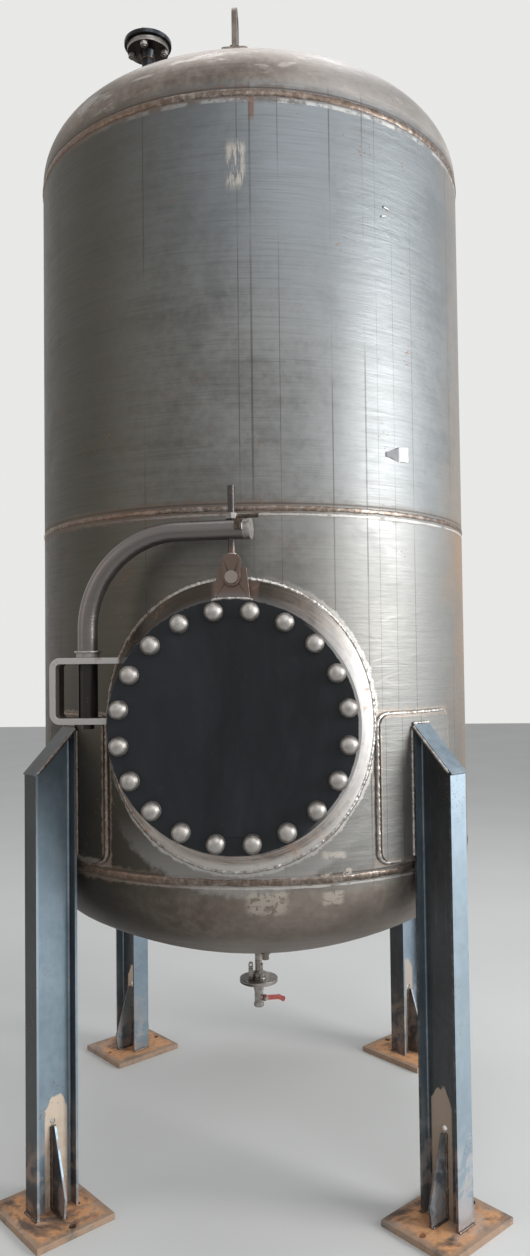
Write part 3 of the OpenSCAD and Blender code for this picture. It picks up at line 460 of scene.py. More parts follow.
def bare_steel():
    """Machined and flame-cut steel, pinkish grey, with light rust and scratches."""
    p = Paint("bare_steel")
    at = p.place
    coarse, fine = (p.use(MOTTLE, {"Vector": at})[k] for k in ("Coarse", "Fine"))
    x, y, z = p.axes(at)
    drop = p.minus(z, MANHOLE_Z)
    from_hole = p.length(x, drop)
    colour = p.ramp(coarse, [(0.0, (0.150, 0.130, 0.116)), (0.5, (0.250, 0.223, 0.205)),
                             (1.0, (0.370, 0.343, 0.322))])
    lathe = {"X": p.part(from_hole, 260.0), "Y": p.part(x, 9.0), "Z": p.part(z, 9.0)}
    rings = p.noise(p.add("ShaderNodeCombineXYZ", lathe).outputs[0], 1.0, 3.0, 0.6)
    turned = p.both(p.step(rings, 0.46, 0.66), p.step(z, 1.95, 1.93))
    colour = p.tint(colour, turned, 0.55, (0.620, 0.570, 0.530))
    diagonal = p.minus(x, drop)
    pad = p.both(p.step(from_hole, 0.345, 0.360), p.step(y, -0.645, -0.66))
    colour = p.tint(colour, p.both(pad, p.step(fine, 0.30, 0.62)), 0.50, (0.300, 0.228, 0.185))
    # painted highlight on the lower right of the manhole pad, painted light on its right and painted
    # shade on its upper left
    pad_highlight = p.both(p.both(pad, p.step(from_hole, 0.395, 0.412)), p.step(diagonal, 0.00, 0.40))
    colour = p.tint(colour, pad_highlight, 0.55, (0.660, 0.635, 0.610))
    lit = p.both(pad, p.step(x, 0.17, 0.37))
    colour = p.tint(colour, lit, 0.50, (0.660, 0.650, 0.640))
    pad_shade = p.both(pad, p.step(diagonal, 0.05, -0.35))
    colour = p.tint(colour, pad_shade, 0.90, (0.034, 0.027, 0.020))
    # pale bracket, dark rod, brown lug and clevis
    bracket = p.both(p.step(x, -0.325, -0.335),
                     p.both(p.step(y, -0.800, -0.805), p.step(z, 1.500, 1.510)))
    bracket = p.both(bracket, p.step(z, 1.712, 1.710))
    colour = p.tint(colour, bracket, 0.68, (0.600, 0.575, 0.560))
    rod = p.both(p.step(p.size(x), 0.0125, 0.0120),
                 p.both(p.step(z, 1.992, 1.998), p.step(y, -0.845, -0.850)))
    colour = p.tint(colour, rod, 0.80, (0.070, 0.066, 0.066))
    lug = p.both(p.step(p.size(x), 0.075, 0.060), p.between(z, (1.860, 1.866), (2.028, 2.000)))
    colour = p.tint(colour, lug, 0.68, (0.170, 0.120, 0.100))
    pin = p.length(x, p.minus(z, PIN_Z))
    head = p.both(p.step(pin, 0.0184, 0.0181), p.step(y, PIN_FACE + 0.0003, PIN_FACE - 0.0002))
    colour = p.tint(colour, head, 0.60, (0.360, 0.310, 0.280))
    # painted shade darkens the underside of the nozzle flange; the left of the drain plate is darker
    # too
    away = p.length(p.minus(x, NOZZLE_X), p.minus(y, NOZZLE_Y))
    under = p.both(p.step(away, 0.0722, 0.0712), p.step(z, 3.70, 3.75))
    colour = p.tint(colour, under, 0.88, (0.022, 0.021, 0.022))
    plate = p.both(p.step(x, 0.010, -0.035), p.between(z, (0.530, 0.524), (0.500, 0.506)))
    colour = p.tint(colour, plate, 0.80, (0.030, 0.028, 0.028))
    blue = p.between(from_hole, (0.300, 0.345), (0.385, 0.360))
    colour = p.tint(colour, blue, 0.35, (0.230, 0.235, 0.260))
    rust = p.step(p.noise(at, 16.0, 6.0, 0.68, 0.6), 0.56, 0.70)
    colour = p.tint(colour, rust, 0.50, (0.270, 0.145, 0.090))
    pits = p.use(SPECK, {"Vector": at, "Scale": 130.0, "Size": 0.30})["Mask"]
    colour = p.tint(colour, pits, 0.6, (0.180, 0.085, 0.045))
    scratch = p.step(p.noise(p.stretch(at, 9.0, 9.0, 240.0), 1.0, 2.0, 0.4), 0.62, 0.70)
    scratch = p.both(scratch, p.minus(1.0, pad))
    colour = p.tint(colour, scratch, 0.35, (0.700, 0.690, 0.680))
    rough = p.plus(p.span(fine, 0.26, 0.48), p.part(rust, 0.22))
    metal = p.span(rust, 0.85, 0.40)
    return p.finish(colour, rough, metal, p.plus(fine, p.part(rust, 0.5)), 0.0006, 0.35)


def bright_steel():
    """Plated bolts, nuts and fittings, silver with a soft pinkish bloom and small dents."""
    p = Paint("bright_steel")
    at = p.place
    coarse, fine = (p.use(MOTTLE, {"Vector": at})[k] for k in ("Coarse", "Fine"))
    bloom = p.noise(at, 70.0, 3.0, 0.5, 0.3)
    colour = p.ramp(bloom, [(0.3, (0.240, 0.215, 0.200)), (0.52, (0.330, 0.308, 0.290)),
                            (0.75, (0.440, 0.425, 0.410))])
    colour = p.tint(colour, p.step(fine, 0.52, 0.70), 0.45, (0.260, 0.220, 0.195))
    x, y, z = p.axes(at)
    drop = p.minus(z, MANHOLE_Z)
    from_hole = p.length(x, drop)
    high = p.minus(CAP_SEAT, y)
    caps = p.both(p.step(from_hole, 0.285, 0.290), p.step(high, 0.0, 0.001))
    caps = p.both(caps, p.step(from_hole, 0.362, 0.357))
    # painted shade: a dark band round each cap nut's dome; painted highlight on its crown
    ring = p.both(caps, p.between(high, (0.0155, 0.0185), (0.0265, 0.0225)))
    colour = p.tint(colour, ring, 0.60, (0.120, 0.104, 0.094))
    crown = p.both(caps, p.step(high, 0.0235, 0.0270))
    colour = p.tint(colour, crown, 0.35, (0.440, 0.420, 0.400))
    small = p.both(p.step(p.size(x), 0.030, 0.026), p.between(z, (2.080, 2.085), (2.135, 2.130)))
    colour = p.tint(colour, small, 0.75, (0.130, 0.122, 0.120))
    rough = p.calc("MULTIPLY_ADD", coarse, 0.12, p.span(bloom, 0.34, 0.50))
    return p.finish(colour, rough, 0.94, fine, 0.0005, 0.22)


def rusty_steel():
    """Base plates: peach and orange rust over grey plate, brown in the hollows."""
    p = Paint("rusty_steel")
    at = p.place
    coarse, fine = (p.use(MOTTLE, {"Vector": at})[k] for k in ("Coarse", "Fine"))
    patch = p.noise(at, 8.0, 6.0, 0.62, 0.4)
    colour = p.ramp(patch, [(0.37, (0.115, 0.078, 0.058)), (0.44, (0.340, 0.196, 0.120)),
                            (0.50, (0.660, 0.345, 0.165)), (0.60, (0.560, 0.320, 0.185)),
                            (0.70, (0.230, 0.140, 0.098))])
    colour = p.tint(colour, p.step(fine, 0.50, 0.72), 0.36, (0.150, 0.080, 0.050))
    pale = p.use(SPECK, {"Vector": at, "Scale": 55.0, "Size": 0.34})["Mask"]
    colour = p.tint(colour, pale, 0.45, (0.440, 0.350, 0.290))
    bare = p.step(p.noise(at, 6.0, 5.0, 0.7, 0.6), 0.52, 0.66)
    colour = p.tint(colour, bare, 0.50, (0.400, 0.355, 0.325))
    leg = p.use(LEG, {"Vector": at})
    across = p.minus(leg["Side"], 0.150)
    along = p.minus(p.size(p.minus(leg["Out"], LEG_MID)), 0.130)
    rim = p.step(p.calc("MULTIPLY_ADD", patch, 0.10, p.either(across, along)), 0.018, 0.046)
    colour = p.tint(colour, rim, 0.65, (0.235, 0.205, 0.175))
    rough = p.span(fine, 0.60, 0.90)
    metal = p.span(coarse, 0.10, 0.40)
    return p.finish(colour, rough, metal, p.plus(patch, p.part(fine, 0.6)), 0.0014, 0.55)


def black_paint():
    """The cover: blue-black satin paint with faint smears, dust and rubbed edges."""
    p = Paint("black_paint")
    at = p.place
    coarse, fine = (p.use(MOTTLE, {"Vector": at})[k] for k in ("Coarse", "Fine"))
    x, _, z = p.axes(at)
    reach = p.length(x, p.minus(z, MANHOLE_Z))
    smear = p.noise(p.stretch(at, 5.0, 5.0, 1.6), 1.0, 5.0, 0.65, 0.8)
    colour = p.ramp(smear, [(0.35, (0.0048, 0.0056, 0.0074)), (0.60, (0.0108, 0.0125, 0.0157)),
                            (0.78, (0.0220, 0.0255, 0.0310))])
    dust = p.step(p.noise(at, 30.0, 7.0, 0.75), 0.56, 0.78)
    colour = p.tint(colour, dust, 0.22, (0.050, 0.050, 0.053))
    rub = p.both(p.step(reach, 0.3535, 0.3570), p.step(fine, 0.42, 0.60))
    colour = p.tint(colour, rub, 0.55, (0.150, 0.140, 0.135))
    bared = p.both(p.step(p.calc("MULTIPLY_ADD", fine, 0.006, reach), 0.3500, 0.3525),
                   p.step(x, 0.19, 0.31))
    colour = p.tint(colour, bared, 0.75, (0.420, 0.408, 0.396))
    rough = p.calc("MULTIPLY_ADD", dust, 0.22, p.span(smear, 0.30, 0.50))
    p.shader.inputs["Specular IOR Level"].default_value = 0.28
    return p.finish(colour, rough, 0.0, p.plus(fine, p.part(coarse, 0.4)), 0.0004, 0.25)


def red_paint():
    """The valve lever: dull red coating, chipped to bare metal."""
    p = Paint("red_paint")
    fine = p.use(MOTTLE, {"Vector": p.place})["Fine"]
    chips = p.step(p.noise(p.place, 190.0, 4.0, 0.6), 0.60, 0.66)
    colour = p.ramp(fine, [(0.3, (0.190, 0.020, 0.016)), (0.7, (0.330, 0.045, 0.034))])
    colour = p.tint(colour, chips, 0.7, (0.360, 0.330, 0.310))
    return p.finish(colour, p.span(fine, 0.30, 0.55), p.part(chips, 0.8), fine, 0.0004, 0.3)


def gasket_sheet():
    """Compressed fibre sheet, matt black with a faint speckle."""
    p = Paint("gasket")
    fine = p.use(MOTTLE, {"Vector": p.place})["Fine"]
    pale = p.use(SPECK, {"Vector": p.place, "Scale": 300.0, "Size": 0.4})["Mask"]
    colour = p.ramp(fine, [(0.3, (0.012, 0.012, 0.013)), (0.7, (0.035, 0.034, 0.033))])
    colour = p.tint(colour, pale, 0.4, (0.110, 0.105, 0.100))
    return p.finish(colour, p.span(fine, 0.75, 0.95), 0.0, fine, 0.0003, 0.4)


def weld_metal(name, dark, mid, light, rust_much):
    """Weld metal: rippled, in patches of light and dark, browner on the front-left as painted shade,
    with rust in places.
    """
    p = Paint(name)
    at = p.place
    coarse, fine = (p.use(MOTTLE, {"Vector": at})[k] for k in ("Coarse", "Fine"))
    angle = p.use(POLAR, {"Vector": at})["Angle"]
    colour = p.ramp(p.noise(at, 55.0, 4.0, 0.65, 0.4), [(0.34, dark), (0.50, mid), (0.66, light)])
    # painted shade: beads on the front-left are browned, together with rust where the mottle is coarse
    brown = p.between(angle, (-3.0, -26.0), (-150.0, -100.0))
    brown = p.either(p.part(brown, 0.72), p.part(coarse, rust_much))
    colour = p.blend(brown, colour, (0.130, 0.078, 0.052, 1))
    rough = p.calc("MULTIPLY_ADD", coarse, 0.16, p.span(fine, 0.22, 0.42))
    return p.finish(colour, rough, 0.85, p.noise(at, 150.0, 3.0, 0.6), 0.0014, 0.5)


def paper_scrap():
    """White adhesive paper with painted shade in grey creases, and grey over its left part."""
    p = Paint("paper_scrap")
    fine = p.use(MOTTLE, {"Vector": p.place})["Fine"]
    crease = p.step(p.noise(p.stretch(p.place, 60.0, 60.0, 24.0), 1.0, 4.0, 0.6, 0.5), 0.52, 0.66)
    colour = p.ramp(fine, [(0.3, (0.620, 0.610, 0.590)), (0.7, (0.820, 0.820, 0.810))])
    # painted shade along the creases
    colour = p.tint(colour, crease, 0.4, (0.300, 0.300, 0.310))
    turn = p.use(POLAR, {"Vector": p.place})["Angle"]
    colour = p.tint(colour, p.step(turn, 40.9, 40.3), 0.85, (0.150, 0.150, 0.160))
    return p.finish(colour, 0.8, 0.0, crease, 0.0008, 0.5)


def floor_paint():
    """A plain pale floor with a faint change of tone."""
    p = Paint("floor")
    tone = p.ramp(p.noise(p.place, 0.8, 3.0), [(0.3, (0.60, 0.60, 0.585)), (0.7, (0.64, 0.64, 0.63))])
    return p.finish(tone, 0.85, 0.0)


SLOTS = {
    "shell_steel": shell_steel(),
    "leg_steel": leg_steel(),
    "bare_steel": bare_steel(),
    "bright_steel": bright_steel(),
    "rusty_steel": rusty_steel(),
    "black_paint": black_paint(),
    "red_paint": red_paint(),
    "gasket": gasket_sheet(),
}
BRIGHT_WELD = weld_metal("bright_weld", (0.240, 0.208, 0.185), (0.420, 0.395, 0.372),
                         (0.660, 0.645, 0.630), 0.16)
SEAM_WELD = weld_metal("seam_weld", (0.090, 0.068, 0.055), (0.170, 0.140, 0.120),
                       (0.300, 0.275, 0.255), 0.50)
PAPER = paper_scrap()


def dress_nodes():
    """Gives every CAD node its material, and rounds the edges of all but the plain ones a little."""
    plain = {"legs", "shell_lower", "shell_upper", "top_head", "bottom_head", "leg_pads",
             "lifting_pads", "manhole_pad", "nozzle_neck", "valve_body", "davit_arm",
             "drain_coupling", "manhole_neck"}
    widths = {"hanger_rod": 0.6, "valve_lever": 0.8, "lever_nut": 0.5, "valve_stem": 0.4,
              "nozzle_gasket": 0.2, "nozzle_bolts": 0.8, "nozzle_nuts": 0.8, "drain_lugs": 0.8,
              "manhole_gasket": 0.3, "drain_hub": 1.0, "locking_pin": 0.8}
    usual = 1.4
    for part in frame["record"]["subparts"]:
        obj = NODES[part["node"]]
        obj.data.materials.clear()
        obj.data.materials.append(SLOTS[part["material_slot"]])
        if part["node"] in plain:
            continue
        weld = obj.modifiers.new("joined", "WELD")
        weld.merge_threshold = 0.02 * MM
        bevel = obj.modifiers.new("edges", "BEVEL")
        bevel.width = widths.get(part["node"], usual) * MM
        bevel.segments = 2
        bevel.limit_method = "ANGLE"
        bevel.angle_limit = math.radians(38)
        bevel.harden_normals = False
        obj.modifiers.new("shading", "WEIGHTED_NORMAL").keep_sharp = True


# --------------------------------------------------------------------- pieces


def keep(name, mesh, material, body="tank"):
    """Adds one piece that rides on a body and shows in a slot."""
    obj = bpy.data.objects.new(name, mesh)
    bpy.context.collection.objects.link(obj)
    mesh.materials.clear()
    mesh.materials.append(material)
    for face in mesh.polygons:
        face.use_smooth = True
    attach(obj, body)
    return obj


def beads(name, paths, thick, material, closed=False, lumps=0.16, sides=2):
    """Sweeps an uneven weld bead along each path."""
    curve = bpy.data.curves.new(name, "CURVE")
    curve.dimensions = "3D"
    curve.bevel_depth = thick
    curve.bevel_resolution = sides
    curve.use_fill_caps = True
    for path in paths:
        line = curve.splines.new("POLY")
        line.points.add(len(path) - 1)
        for spot, co in zip(line.points, path):
            spot.co = (*co, 1)
            spot.radius = 1 + lumps * RNG.uniform(-1, 1)
        line.use_cyclic_u = closed
    carrier = bpy.data.objects.new(name + "_path", curve)
    mesh = bpy.data.meshes.new_from_object(carrier)
    bpy.data.objects.remove(carrier)
    mesh.name = name
    return keep(name, mesh, material)


def straight(a, b, pitch=0.004):
    """Points in a line from a to b."""
    a, b = Vector(a), Vector(b)
    count = max(2, int((b - a).length / pitch))
    return [a.lerp(b, i / count) for i in range(count + 1)]


def around(count, at):
    """Points all round a loop; at gives the point for an angle."""
    return [at(2 * PI * i / count) for i in range(count)]


def on_shell(along, z, surface):
    """A point of the shell, by its distance round the tank from the front."""
    turn = along / surface
    return (surface * math.sin(turn), -surface * math.cos(turn), z)


def level_ring(r, z, x=0.0, y=0.0):
    """Points round a level circle."""
    count = max(24, int(2 * PI * r / 0.004))
    return around(count, lambda t: (x + r * math.cos(t), y + r * math.sin(t), z))


def girth_seam(name, z, half, high_by):
    """A wide, low bead round the tank, with ripples and a slightly wandering edge."""
    bm = bmesh.new()
    bmesh.ops.create_circle(bm, cap_ends=False, radius=1.0, segments=12)
    for v in bm.verts:
        v.co = (TANK_R - 0.0010 + high_by * v.co.x, 0, z + half * v.co.y)
    bmesh.ops.spin(bm, geom=bm.verts[:] + bm.edges[:], axis=(0, 0, 1), cent=(0, 0, 0), dvec=(0, 0, 0),
                   angle=2 * PI, steps=960, use_merge=True, use_duplicate=False)
    start = RNG.uniform(0, 6)
    for v in bm.verts:
        turn = math.atan2(v.co.y, v.co.x)
        high = (v.co.z - z) / half
        wander = 0.0009 * math.sin(37 * turn + start) + 0.0006 * math.sin(91 * turn)
        ripple = 0.0006 * math.sin(420 * turn + 2.2 * high * high) * (1 - abs(high))
        out = 1 + (ripple + 0.0003 * math.sin(149 * turn)) / TANK_R
        v.co = (v.co.x * out, v.co.y * out, v.co.z + wander * high)
    bmesh.ops.recalc_face_normals(bm, faces=bm.faces[:])
    mesh = bpy.data.meshes.new(name)
    bm.to_mesh(mesh)
    bm.free()
    keep(name, mesh, SEAM_WELD)


def manhole_welds():
    """Beads round the manhole pad, the neck's foot and the back of the flange."""
    def pad_edge(t):
        return on_shell(PAD_R * math.cos(t), MANHOLE_Z + PAD_R * math.sin(t), TANK_R + 0.0045)

    beads("manhole_pad_weld", [around(560, pad_edge)], 0.0085, BRIGHT_WELD, closed=True,
          lumps=0.22)

    def saddle(t):
        x = NECK_R * math.cos(t)
        return (x, -math.sqrt(FACE_R ** 2 - x ** 2) - 0.001, MANHOLE_Z + NECK_R * math.sin(t))

    def flange_back(t):
        r = NECK_R - 0.0015
        return (r * math.cos(t), -FLANGE_BACK + 0.002, MANHOLE_Z + r * math.sin(t))

    beads("neck_weld", [around(300, saddle)], 0.0060, BRIGHT_WELD, closed=True)
    beads("flange_weld", [around(300, flange_back)], 0.0045, BRIGHT_WELD, closed=True)


def pad_outline(half_w, low, high, r):
    """Points round an upright plate with rounded corners, as (across, height)."""
    spots = []
    for cx, cz, first in ((half_w - r, high - r, 0), (-half_w + r, high - r, 90),
                          (-half_w + r, low + r, 180), (half_w - r, low + r, 270)):
        for i in range(9):
            t = math.radians(first + i * 11.25)
            spots.append((cx + r * math.cos(t), cz + r * math.sin(t)))
    full = []
    for i, a in enumerate(spots):
        b = spots[(i + 1) % len(spots)]
        steps = max(1, int(math.dist(a, b) / 0.005))
        for k in range(steps):
            full.append((a[0] + (b[0] - a[0]) * k / steps, a[1] + (b[1] - a[1]) * k / steps))
    return full


def leg_pad_welds():
    """Beads round the four leg pads; the front ones keep clear of the manhole pad."""
    surface = TANK_R + 0.0035
    clear = PAD_R + 0.0075
    paths = []
    for middle in (-45, 45, 135, -135):
        path = []
        for across, z in pad_outline(LEG_PAD_HALF, LEG_PAD_LOW, LEG_PAD_HIGH, LEG_PAD_CORNER):
            turn = math.radians(middle) + math.asin(across / surface)
            s = turn * surface
            if abs(middle) < 90:
                drop = z - MANHOLE_Z
                reach = math.hypot(s, drop)
                if reach < clear:
                    s, z = s * clear / reach, MANHOLE_Z + drop * clear / reach
            path.append(on_shell(s, z, surface))
        paths.append(path)
    beads("leg_pad_welds", paths, 0.0070, BRIGHT_WELD, closed=True, lumps=0.2)


def leg_spot(turn, out, side, z):
    """A point of the leg at a turn, by its distance out and to the side."""
    c, s = math.cos(turn), math.sin(turn)
    return (out * c - side * s, out * s + side * c, z)


def leg_welds():
    """Beads along the leg where it meets its pad, at its cap and round its foot."""
    upper, foot = [], []
    for a in (-135, -45, 45, 135):
        turn = math.radians(a)

        def line(p, q):
            return straight(leg_spot(turn, *p), leg_spot(turn, *q))

        for s in (-1, 1):
            side = s * (LEG_HALF + 0.0018)
            upper.append(line((LEG_FACE - 0.0012, side, 1.094), (LEG_FACE - 0.0012, side, 1.480)))
            low = (LEG_FACE + 0.004, s * (LEG_HALF + 0.0005), 1.4850)
            end = (LEG_FACE + 0.134, s * (LEG_HALF + 0.0005), 1.3550)
            upper.append(line(low, end))
        upper.append(line((LEG_FACE + 0.002, -LEG_HALF, 1.4960), (LEG_FACE + 0.002, LEG_HALF, 1.4960)))
        for out in (LEG_FACE - 0.002, LEG_FACE + LEG_DEPTH + 0.002):
            foot.append(line((out, -LEG_HALF, FOOT_Z), (out, LEG_HALF, FOOT_Z)))
        for s in (-1, 1):
            for out in (LEG_MID - 0.0055, LEG_MID + 0.0055):
                foot.append(line((out, s * 0.006, FOOT_Z), (out, s * 0.0745, FOOT_Z)))
                foot.append(line((out, s * 0.0045, 0.026), (out, s * 0.0045, 0.272)))
    beads("leg_welds", upper, 0.0050, BRIGHT_WELD, lumps=0.22)
    beads("foot_welds", foot, 0.0044, SEAM_WELD, lumps=0.22)


def crown_z(x, y, lift=0.0):
    """The height of the top head's crown over x and y."""
    return TOP_CROWN_Z + math.sqrt((CROWN_R + lift) ** 2 - x * x - y * y)


def top_welds():
    """Beads at the top nozzle's foot and hub, and round the lifting lugs and their pads."""
    def foot(t):
        x, y = NOZZLE_X + 0.0238 * math.cos(t), NOZZLE_Y + 0.0238 * math.sin(t)
        return (x, y, crown_z(x, y, 0.001))

    beads("nozzle_weld", [around(60, foot)], 0.0050, SEAM_WELD, closed=True)
    hub = level_ring(0.0215, 3.8080, NOZZLE_X, NOZZLE_Y)
    beads("nozzle_hub_weld", [hub], 0.0022, SEAM_WELD, closed=True)
    edges, feet = [], []
    for s in (-1, 1):
        edge = []
        for across, out in pad_outline(0.0415, 0.5035, 0.6165, 0.014):
            edge.append((across, s * out, crown_z(across, out, 0.003)))
        edges.append(edge)
        for side in (-1, 1):
            path = []
            for i in range(24):
                out = 0.517 + 0.086 * i / 23
                path.append((side * 0.0098, s * out, crown_z(0.0098, out, 0.0143)))
            feet.append(path)
    beads("lifting_pad_welds", edges, 0.0055, SEAM_WELD, closed=True)
    beads("lifting_lug_welds", feet, 0.0045, SEAM_WELD)


def rim_arc(r, start, end, y, count=18):
    """Part of a circle round the manhole axis; angles are measured from straight up."""
    path = []
    for i in range(count + 1):
        t = math.radians(start + (end - start) * i / count)
        path.append((r * math.sin(t), y, MANHOLE_Z + r * math.cos(t)))
    return path


def davit_welds():
    """Beads where the bracket meets the flange's rim, at the cover's lug and at the clevis."""
    rim = COVER_R
    front, back = -0.8400, -FLANGE_BACK
    ends = []
    for top, lift in ((0.198, 0.0015), (0.180, -0.0015), (0.025, 0.0015), (0.007, -0.0015)):
        x, z = -math.sqrt(rim ** 2 - top ** 2) - 0.0012, MANHOLE_Z + top + lift
        ends.append(straight((x, front, z), (x, back - 0.002, z)))
    for high, low in ((0.197, 0.181), (0.024, 0.008)):
        angles = [-math.degrees(math.acos(h / rim)) for h in (high, low)]
        ends.append(rim_arc(rim + 0.0012, angles[0], angles[1], front - 0.0010, 6))
    beads("bracket_welds", ends, 0.0042, BRIGHT_WELD, lumps=0.2)
    half = math.degrees(math.asin(0.0525 / rim))
    lug = [rim_arc(rim + 0.0025, -half, half, -COVER_MID + s * 0.0125, 30) for s in (-1, 1)]
    for s in (-1, 1):
        x = s * 0.0540
        z = MANHOLE_Z + math.sqrt(rim ** 2 - x * x) + 0.0025
        lug.append(straight((x, -COVER_MID - 0.010, z), (x, -COVER_MID + 0.010, z)))
    beads("cover_lug_weld", lug, 0.0046, BRIGHT_WELD, lumps=0.2)
    clevis = level_ring(0.0118, 1.9945, 0, -COVER_MID)
    beads("clevis_weld", [clevis], 0.0032, BRIGHT_WELD, closed=True)


def drain_welds():
    """Beads down the drain, at the small coupling and at the two lugs on the drain plate."""
    under = LOW_CROWN_Z - CROWN_R
    rings = [level_ring(0.0158, under - 0.0005), level_ring(0.0155, 0.5425), level_ring(0.0262, 0.5230)]
    beads("drain_welds", rings, 0.0034, BRIGHT_WELD, closed=True)
    beads("nipple_weld", [level_ring(0.0146, 0.5070)], 0.0026, SEAM_WELD, closed=True)
    x, y = 0.054, -0.430
    r = 0.0128

    def foot(t):
        px, py = x + r * math.cos(t), y + r * math.sin(t)
        return (px, py, LOW_CROWN_Z - math.sqrt(CROWN_R ** 2 - px * px - py * py))

    beads("coupling_weld", [around(40, foot)], 0.0036, SEAM_WELD, closed=True)
    feet = []
    for s in (-1, 1):
        lug_x, lug_y = 0.0140 + s * 0.0048, -0.0240 + s * 0.0048
        feet.append(straight((-0.0355, lug_y, DRAIN_PLATE_Z), (-0.0185, lug_y, DRAIN_PLATE_Z)))
        feet.append(straight((lug_x, -0.0465, DRAIN_PLATE_Z), (lug_x, -0.0295, DRAIN_PLATE_Z)))
    beads("lug_foot_welds", feet, 0.0022, BRIGHT_WELD)


def rod_thread(name, low, high, r=0.0099, pitch=0.0025):
    """A fine screw ridge that winds up the plain hanger rod."""
    steps = 20
    count = int((high - low) / pitch * steps)
    path = []
    for i in range(count + 1):
        t = 2 * PI * i / steps
        path.append((r * math.cos(t), -COVER_MID + r * math.sin(t), low + (high - low) * i / count))
    beads(name, [path], 0.26 * pitch, SLOTS["bare_steel"], lumps=0.0, sides=0)


def boss_welds():
    """Short beads where the locking pin's boss sits on the davit arm."""
    turn = math.atan2(COVER_MID - 0.7950, 0.430)
    c, s = math.cos(turn), math.sin(turn)
    sides = []
    for along in (-0.0098, 0.0098):
        path = []
        for i in range(8):
            z = -0.004 + 0.020 * i / 7
            y = -math.sqrt(0.0290 ** 2 - z * z) - 0.001
            a = 0.026 + along
            path.append((a * c + y * s, -COVER_MID - a * s + y * c, 2.065 + z))
        sides.append(path)
    beads("boss_welds", sides, 0.0026, BRIGHT_WELD)


def tack_scars():
    """Two short scars of weld metal high on the right of the shell."""
    paths = []
    for turn, z, lean in ((36.87, 3.0651, 0.4), (37.53, 3.0920, -0.2)):
        mid = math.radians(turn) * TANK_R
        path = []
        for i in range(7):
            k = (i - 3) / 3
            path.append(on_shell(mid + 0.010 * k, z + 0.008 * k * lean, TANK_R + 0.0004))
        paths.append(path)
    beads("tack_scars", paths, 0.0034, BRIGHT_WELD, lumps=0.35)


def sticker():
    """A small scrap of white paper tape stuck to the shell, narrower at its left end."""
    middle, height = math.radians(40.05) * TANK_R, 2.3260
    half_long, half_tall, lean = 0.0487, 0.023, 0.004
    bm = bmesh.new()
    bmesh.ops.create_grid(bm, x_segments=18, y_segments=10, size=1.0)
    for v in bm.verts:
        u, w = v.co.x, v.co.y
        narrow = 1 - 0.65 * max(0.0, min(1.0, 0.15 - u))
        along = middle + half_long * u
        z = height + half_tall * w * narrow + lean * u
        off = 0.0006 + 0.0004 * math.sin(5 * u + 3 * w)
        v.co = on_shell(along, z, TANK_R + off)
    bmesh.ops.solidify(bm, geom=bm.faces[:], thickness=0.0003)
    bmesh.ops.recalc_face_normals(bm, faces=bm.faces[:])
    mesh = bpy.data.meshes.new("paper_scrap")
    bm.to_mesh(mesh)
    bm.free()
    keep("paper_scrap", mesh, PAPER)


# ---------------------------------------------------------- camera and lights


CAMERA_PLACE = (0.2481, -3.4320, 1.7005)
CAMERA_LOOK = (-0.0609, 0.9976, 0.0330)
CAMERA_ROLL = -0.0119
LENS = 26.329  # mm, on a sensor 36 mm long


def set_camera():
    """The camera that the photo was solved for."""
    data = bpy.data.cameras.new("camera")
    data.sensor_fit = "AUTO"
    data.sensor_width = 36.0
    data.lens = LENS
    cam = bpy.data.objects.new("camera", data)
    bpy.context.collection.objects.link(cam)
    cam.location = CAMERA_PLACE
    look = Vector(CAMERA_LOOK).to_track_quat("-Z", "Y")
    cam.rotation_mode = "QUATERNION"
    cam.rotation_quaternion = look @ Quaternion((0, 0, 1), CAMERA_ROLL)
    bpy.context.scene.camera = cam


def panel_light(name, place, aim, wide, tall, power, colour, spread):
    """A flat lamp of a given size in metres, power in watts and spread in degrees."""
    data = bpy.data.lights.new(name, "AREA")
    data.spread = math.radians(spread)
    data.shape = "RECTANGLE"
    data.size = wide
    data.size_y = tall
    data.energy = power
    data.color = colour
    lamp = bpy.data.objects.new(name, data)
    bpy.context.collection.objects.link(lamp)
    lamp.location = place
    lamp.rotation_mode = "QUATERNION"
    lamp.rotation_quaternion = (Vector(aim) - Vector(place)).to_track_quat("-Z", "Y")


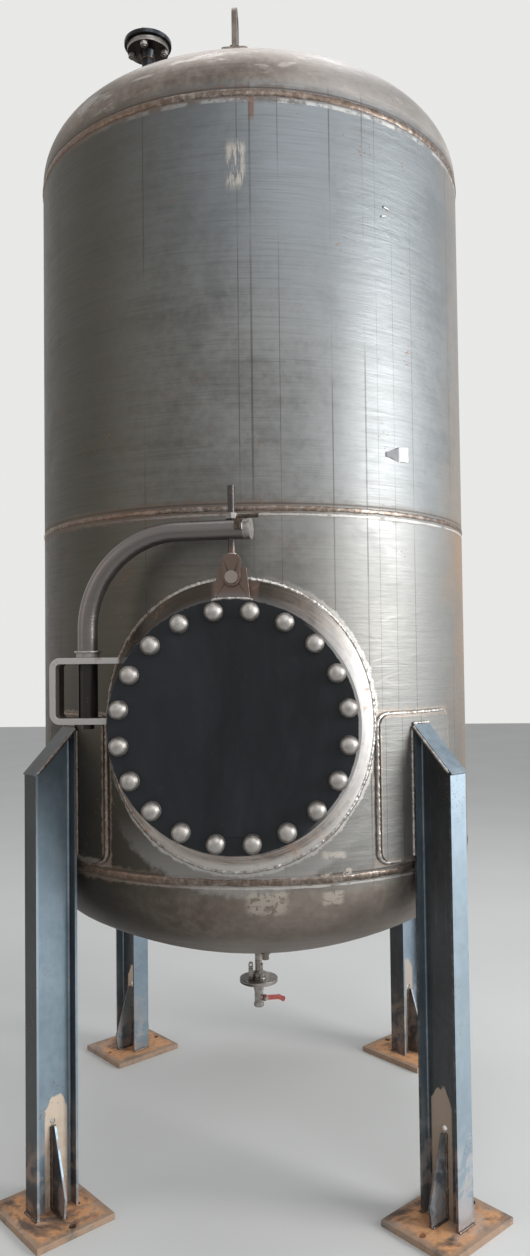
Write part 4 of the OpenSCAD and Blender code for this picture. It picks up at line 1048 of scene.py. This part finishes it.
def set_world():
    """An even pale hall, brighter where it is seen or mirrored than where it lights."""
    world = bpy.data.worlds.new("world")
    bpy.context.scene.world = world
    world.use_nodes = True
    t = Tree(world.node_tree)
    low = world.node_tree.nodes["Background"]
    low.inputs["Color"].default_value = (0.90, 0.91, 0.93, 1)
    low.inputs["Strength"].default_value = 0.50
    high = t.add("ShaderNodeBackground", {"Color": (0.90, 0.90, 0.89, 1), "Strength": 0.90})
    path = t.add("ShaderNodeLightPath")
    seen = t.either(path.outputs["Is Camera Ray"], path.outputs["Is Transmission Ray"])
    seen = t.either(seen, path.outputs["Is Glossy Ray"])
    mix = t.add("ShaderNodeMixShader", {0: seen, 1: low.outputs[0], 2: high.outputs[0]})
    world.node_tree.links.new(mix.outputs[0], world.node_tree.nodes["World Output"].inputs["Surface"])


# name, place, aim, width, height, power, colour and spread of each lamp
LAMPS = (
    ("window_right", (6.2, -2.5, 3.4), (0.3, -0.5, 2.3), 2.8, 3.2, 170, (0.98, 0.99, 0.97), 120),
    ("wall_right", (8.0, -1.0, 2.4), (0.0, -1.0, 1.6), 9.0, 4.6, 112, (0.84, 0.93, 1.0), 120),
    ("sky_front", (2.4, -6.0, 6.5), (0.0, 0.0, 2.0), 4.0, 2.5, 120, (0.92, 0.96, 1.0), 180),
    ("hall_left", (-5.5, -3.5, 3.5), (0.0, 0.0, 1.8), 2.5, 4.0, 30, (1.0, 0.92, 0.82), 180),
    ("roof", (0.0, 0.5, 8.0), (0.0, 0.0, 3.0), 4.0, 4.0, 165, (0.95, 0.97, 1.0), 180),
)


def lay_floor():
    bm = bmesh.new()
    bmesh.ops.create_grid(bm, x_segments=1, y_segments=1, size=20)
    mesh = bpy.data.meshes.new("floor")
    bm.to_mesh(mesh)
    bm.free()
    floor = bpy.data.objects.new("floor", mesh)
    bpy.context.collection.objects.link(floor)
    mesh.materials.append(floor_paint())


set_camera()
set_world()
for values in LAMPS:
    panel_light(*values)
lay_floor()
bpy.context.scene.view_settings.view_transform = "Standard"

dress_nodes()
for key, half, high_by in (("lower", 0.0105, 0.0032), ("middle", 0.0080, 0.0026),
                           ("upper", 0.0115, 0.0034)):
    girth_seam(key + "_seam_weld", SEAMS[key], half, high_by)
manhole_welds()
leg_pad_welds()
leg_welds()
top_welds()
davit_welds()
drain_welds()
boss_welds()
for key, low, high in (("low", 1.9990, 2.0340), ("high", 2.1125, 2.1880)):
    rod_thread("rod_thread_" + key, low, high)
tack_scars()
sticker()
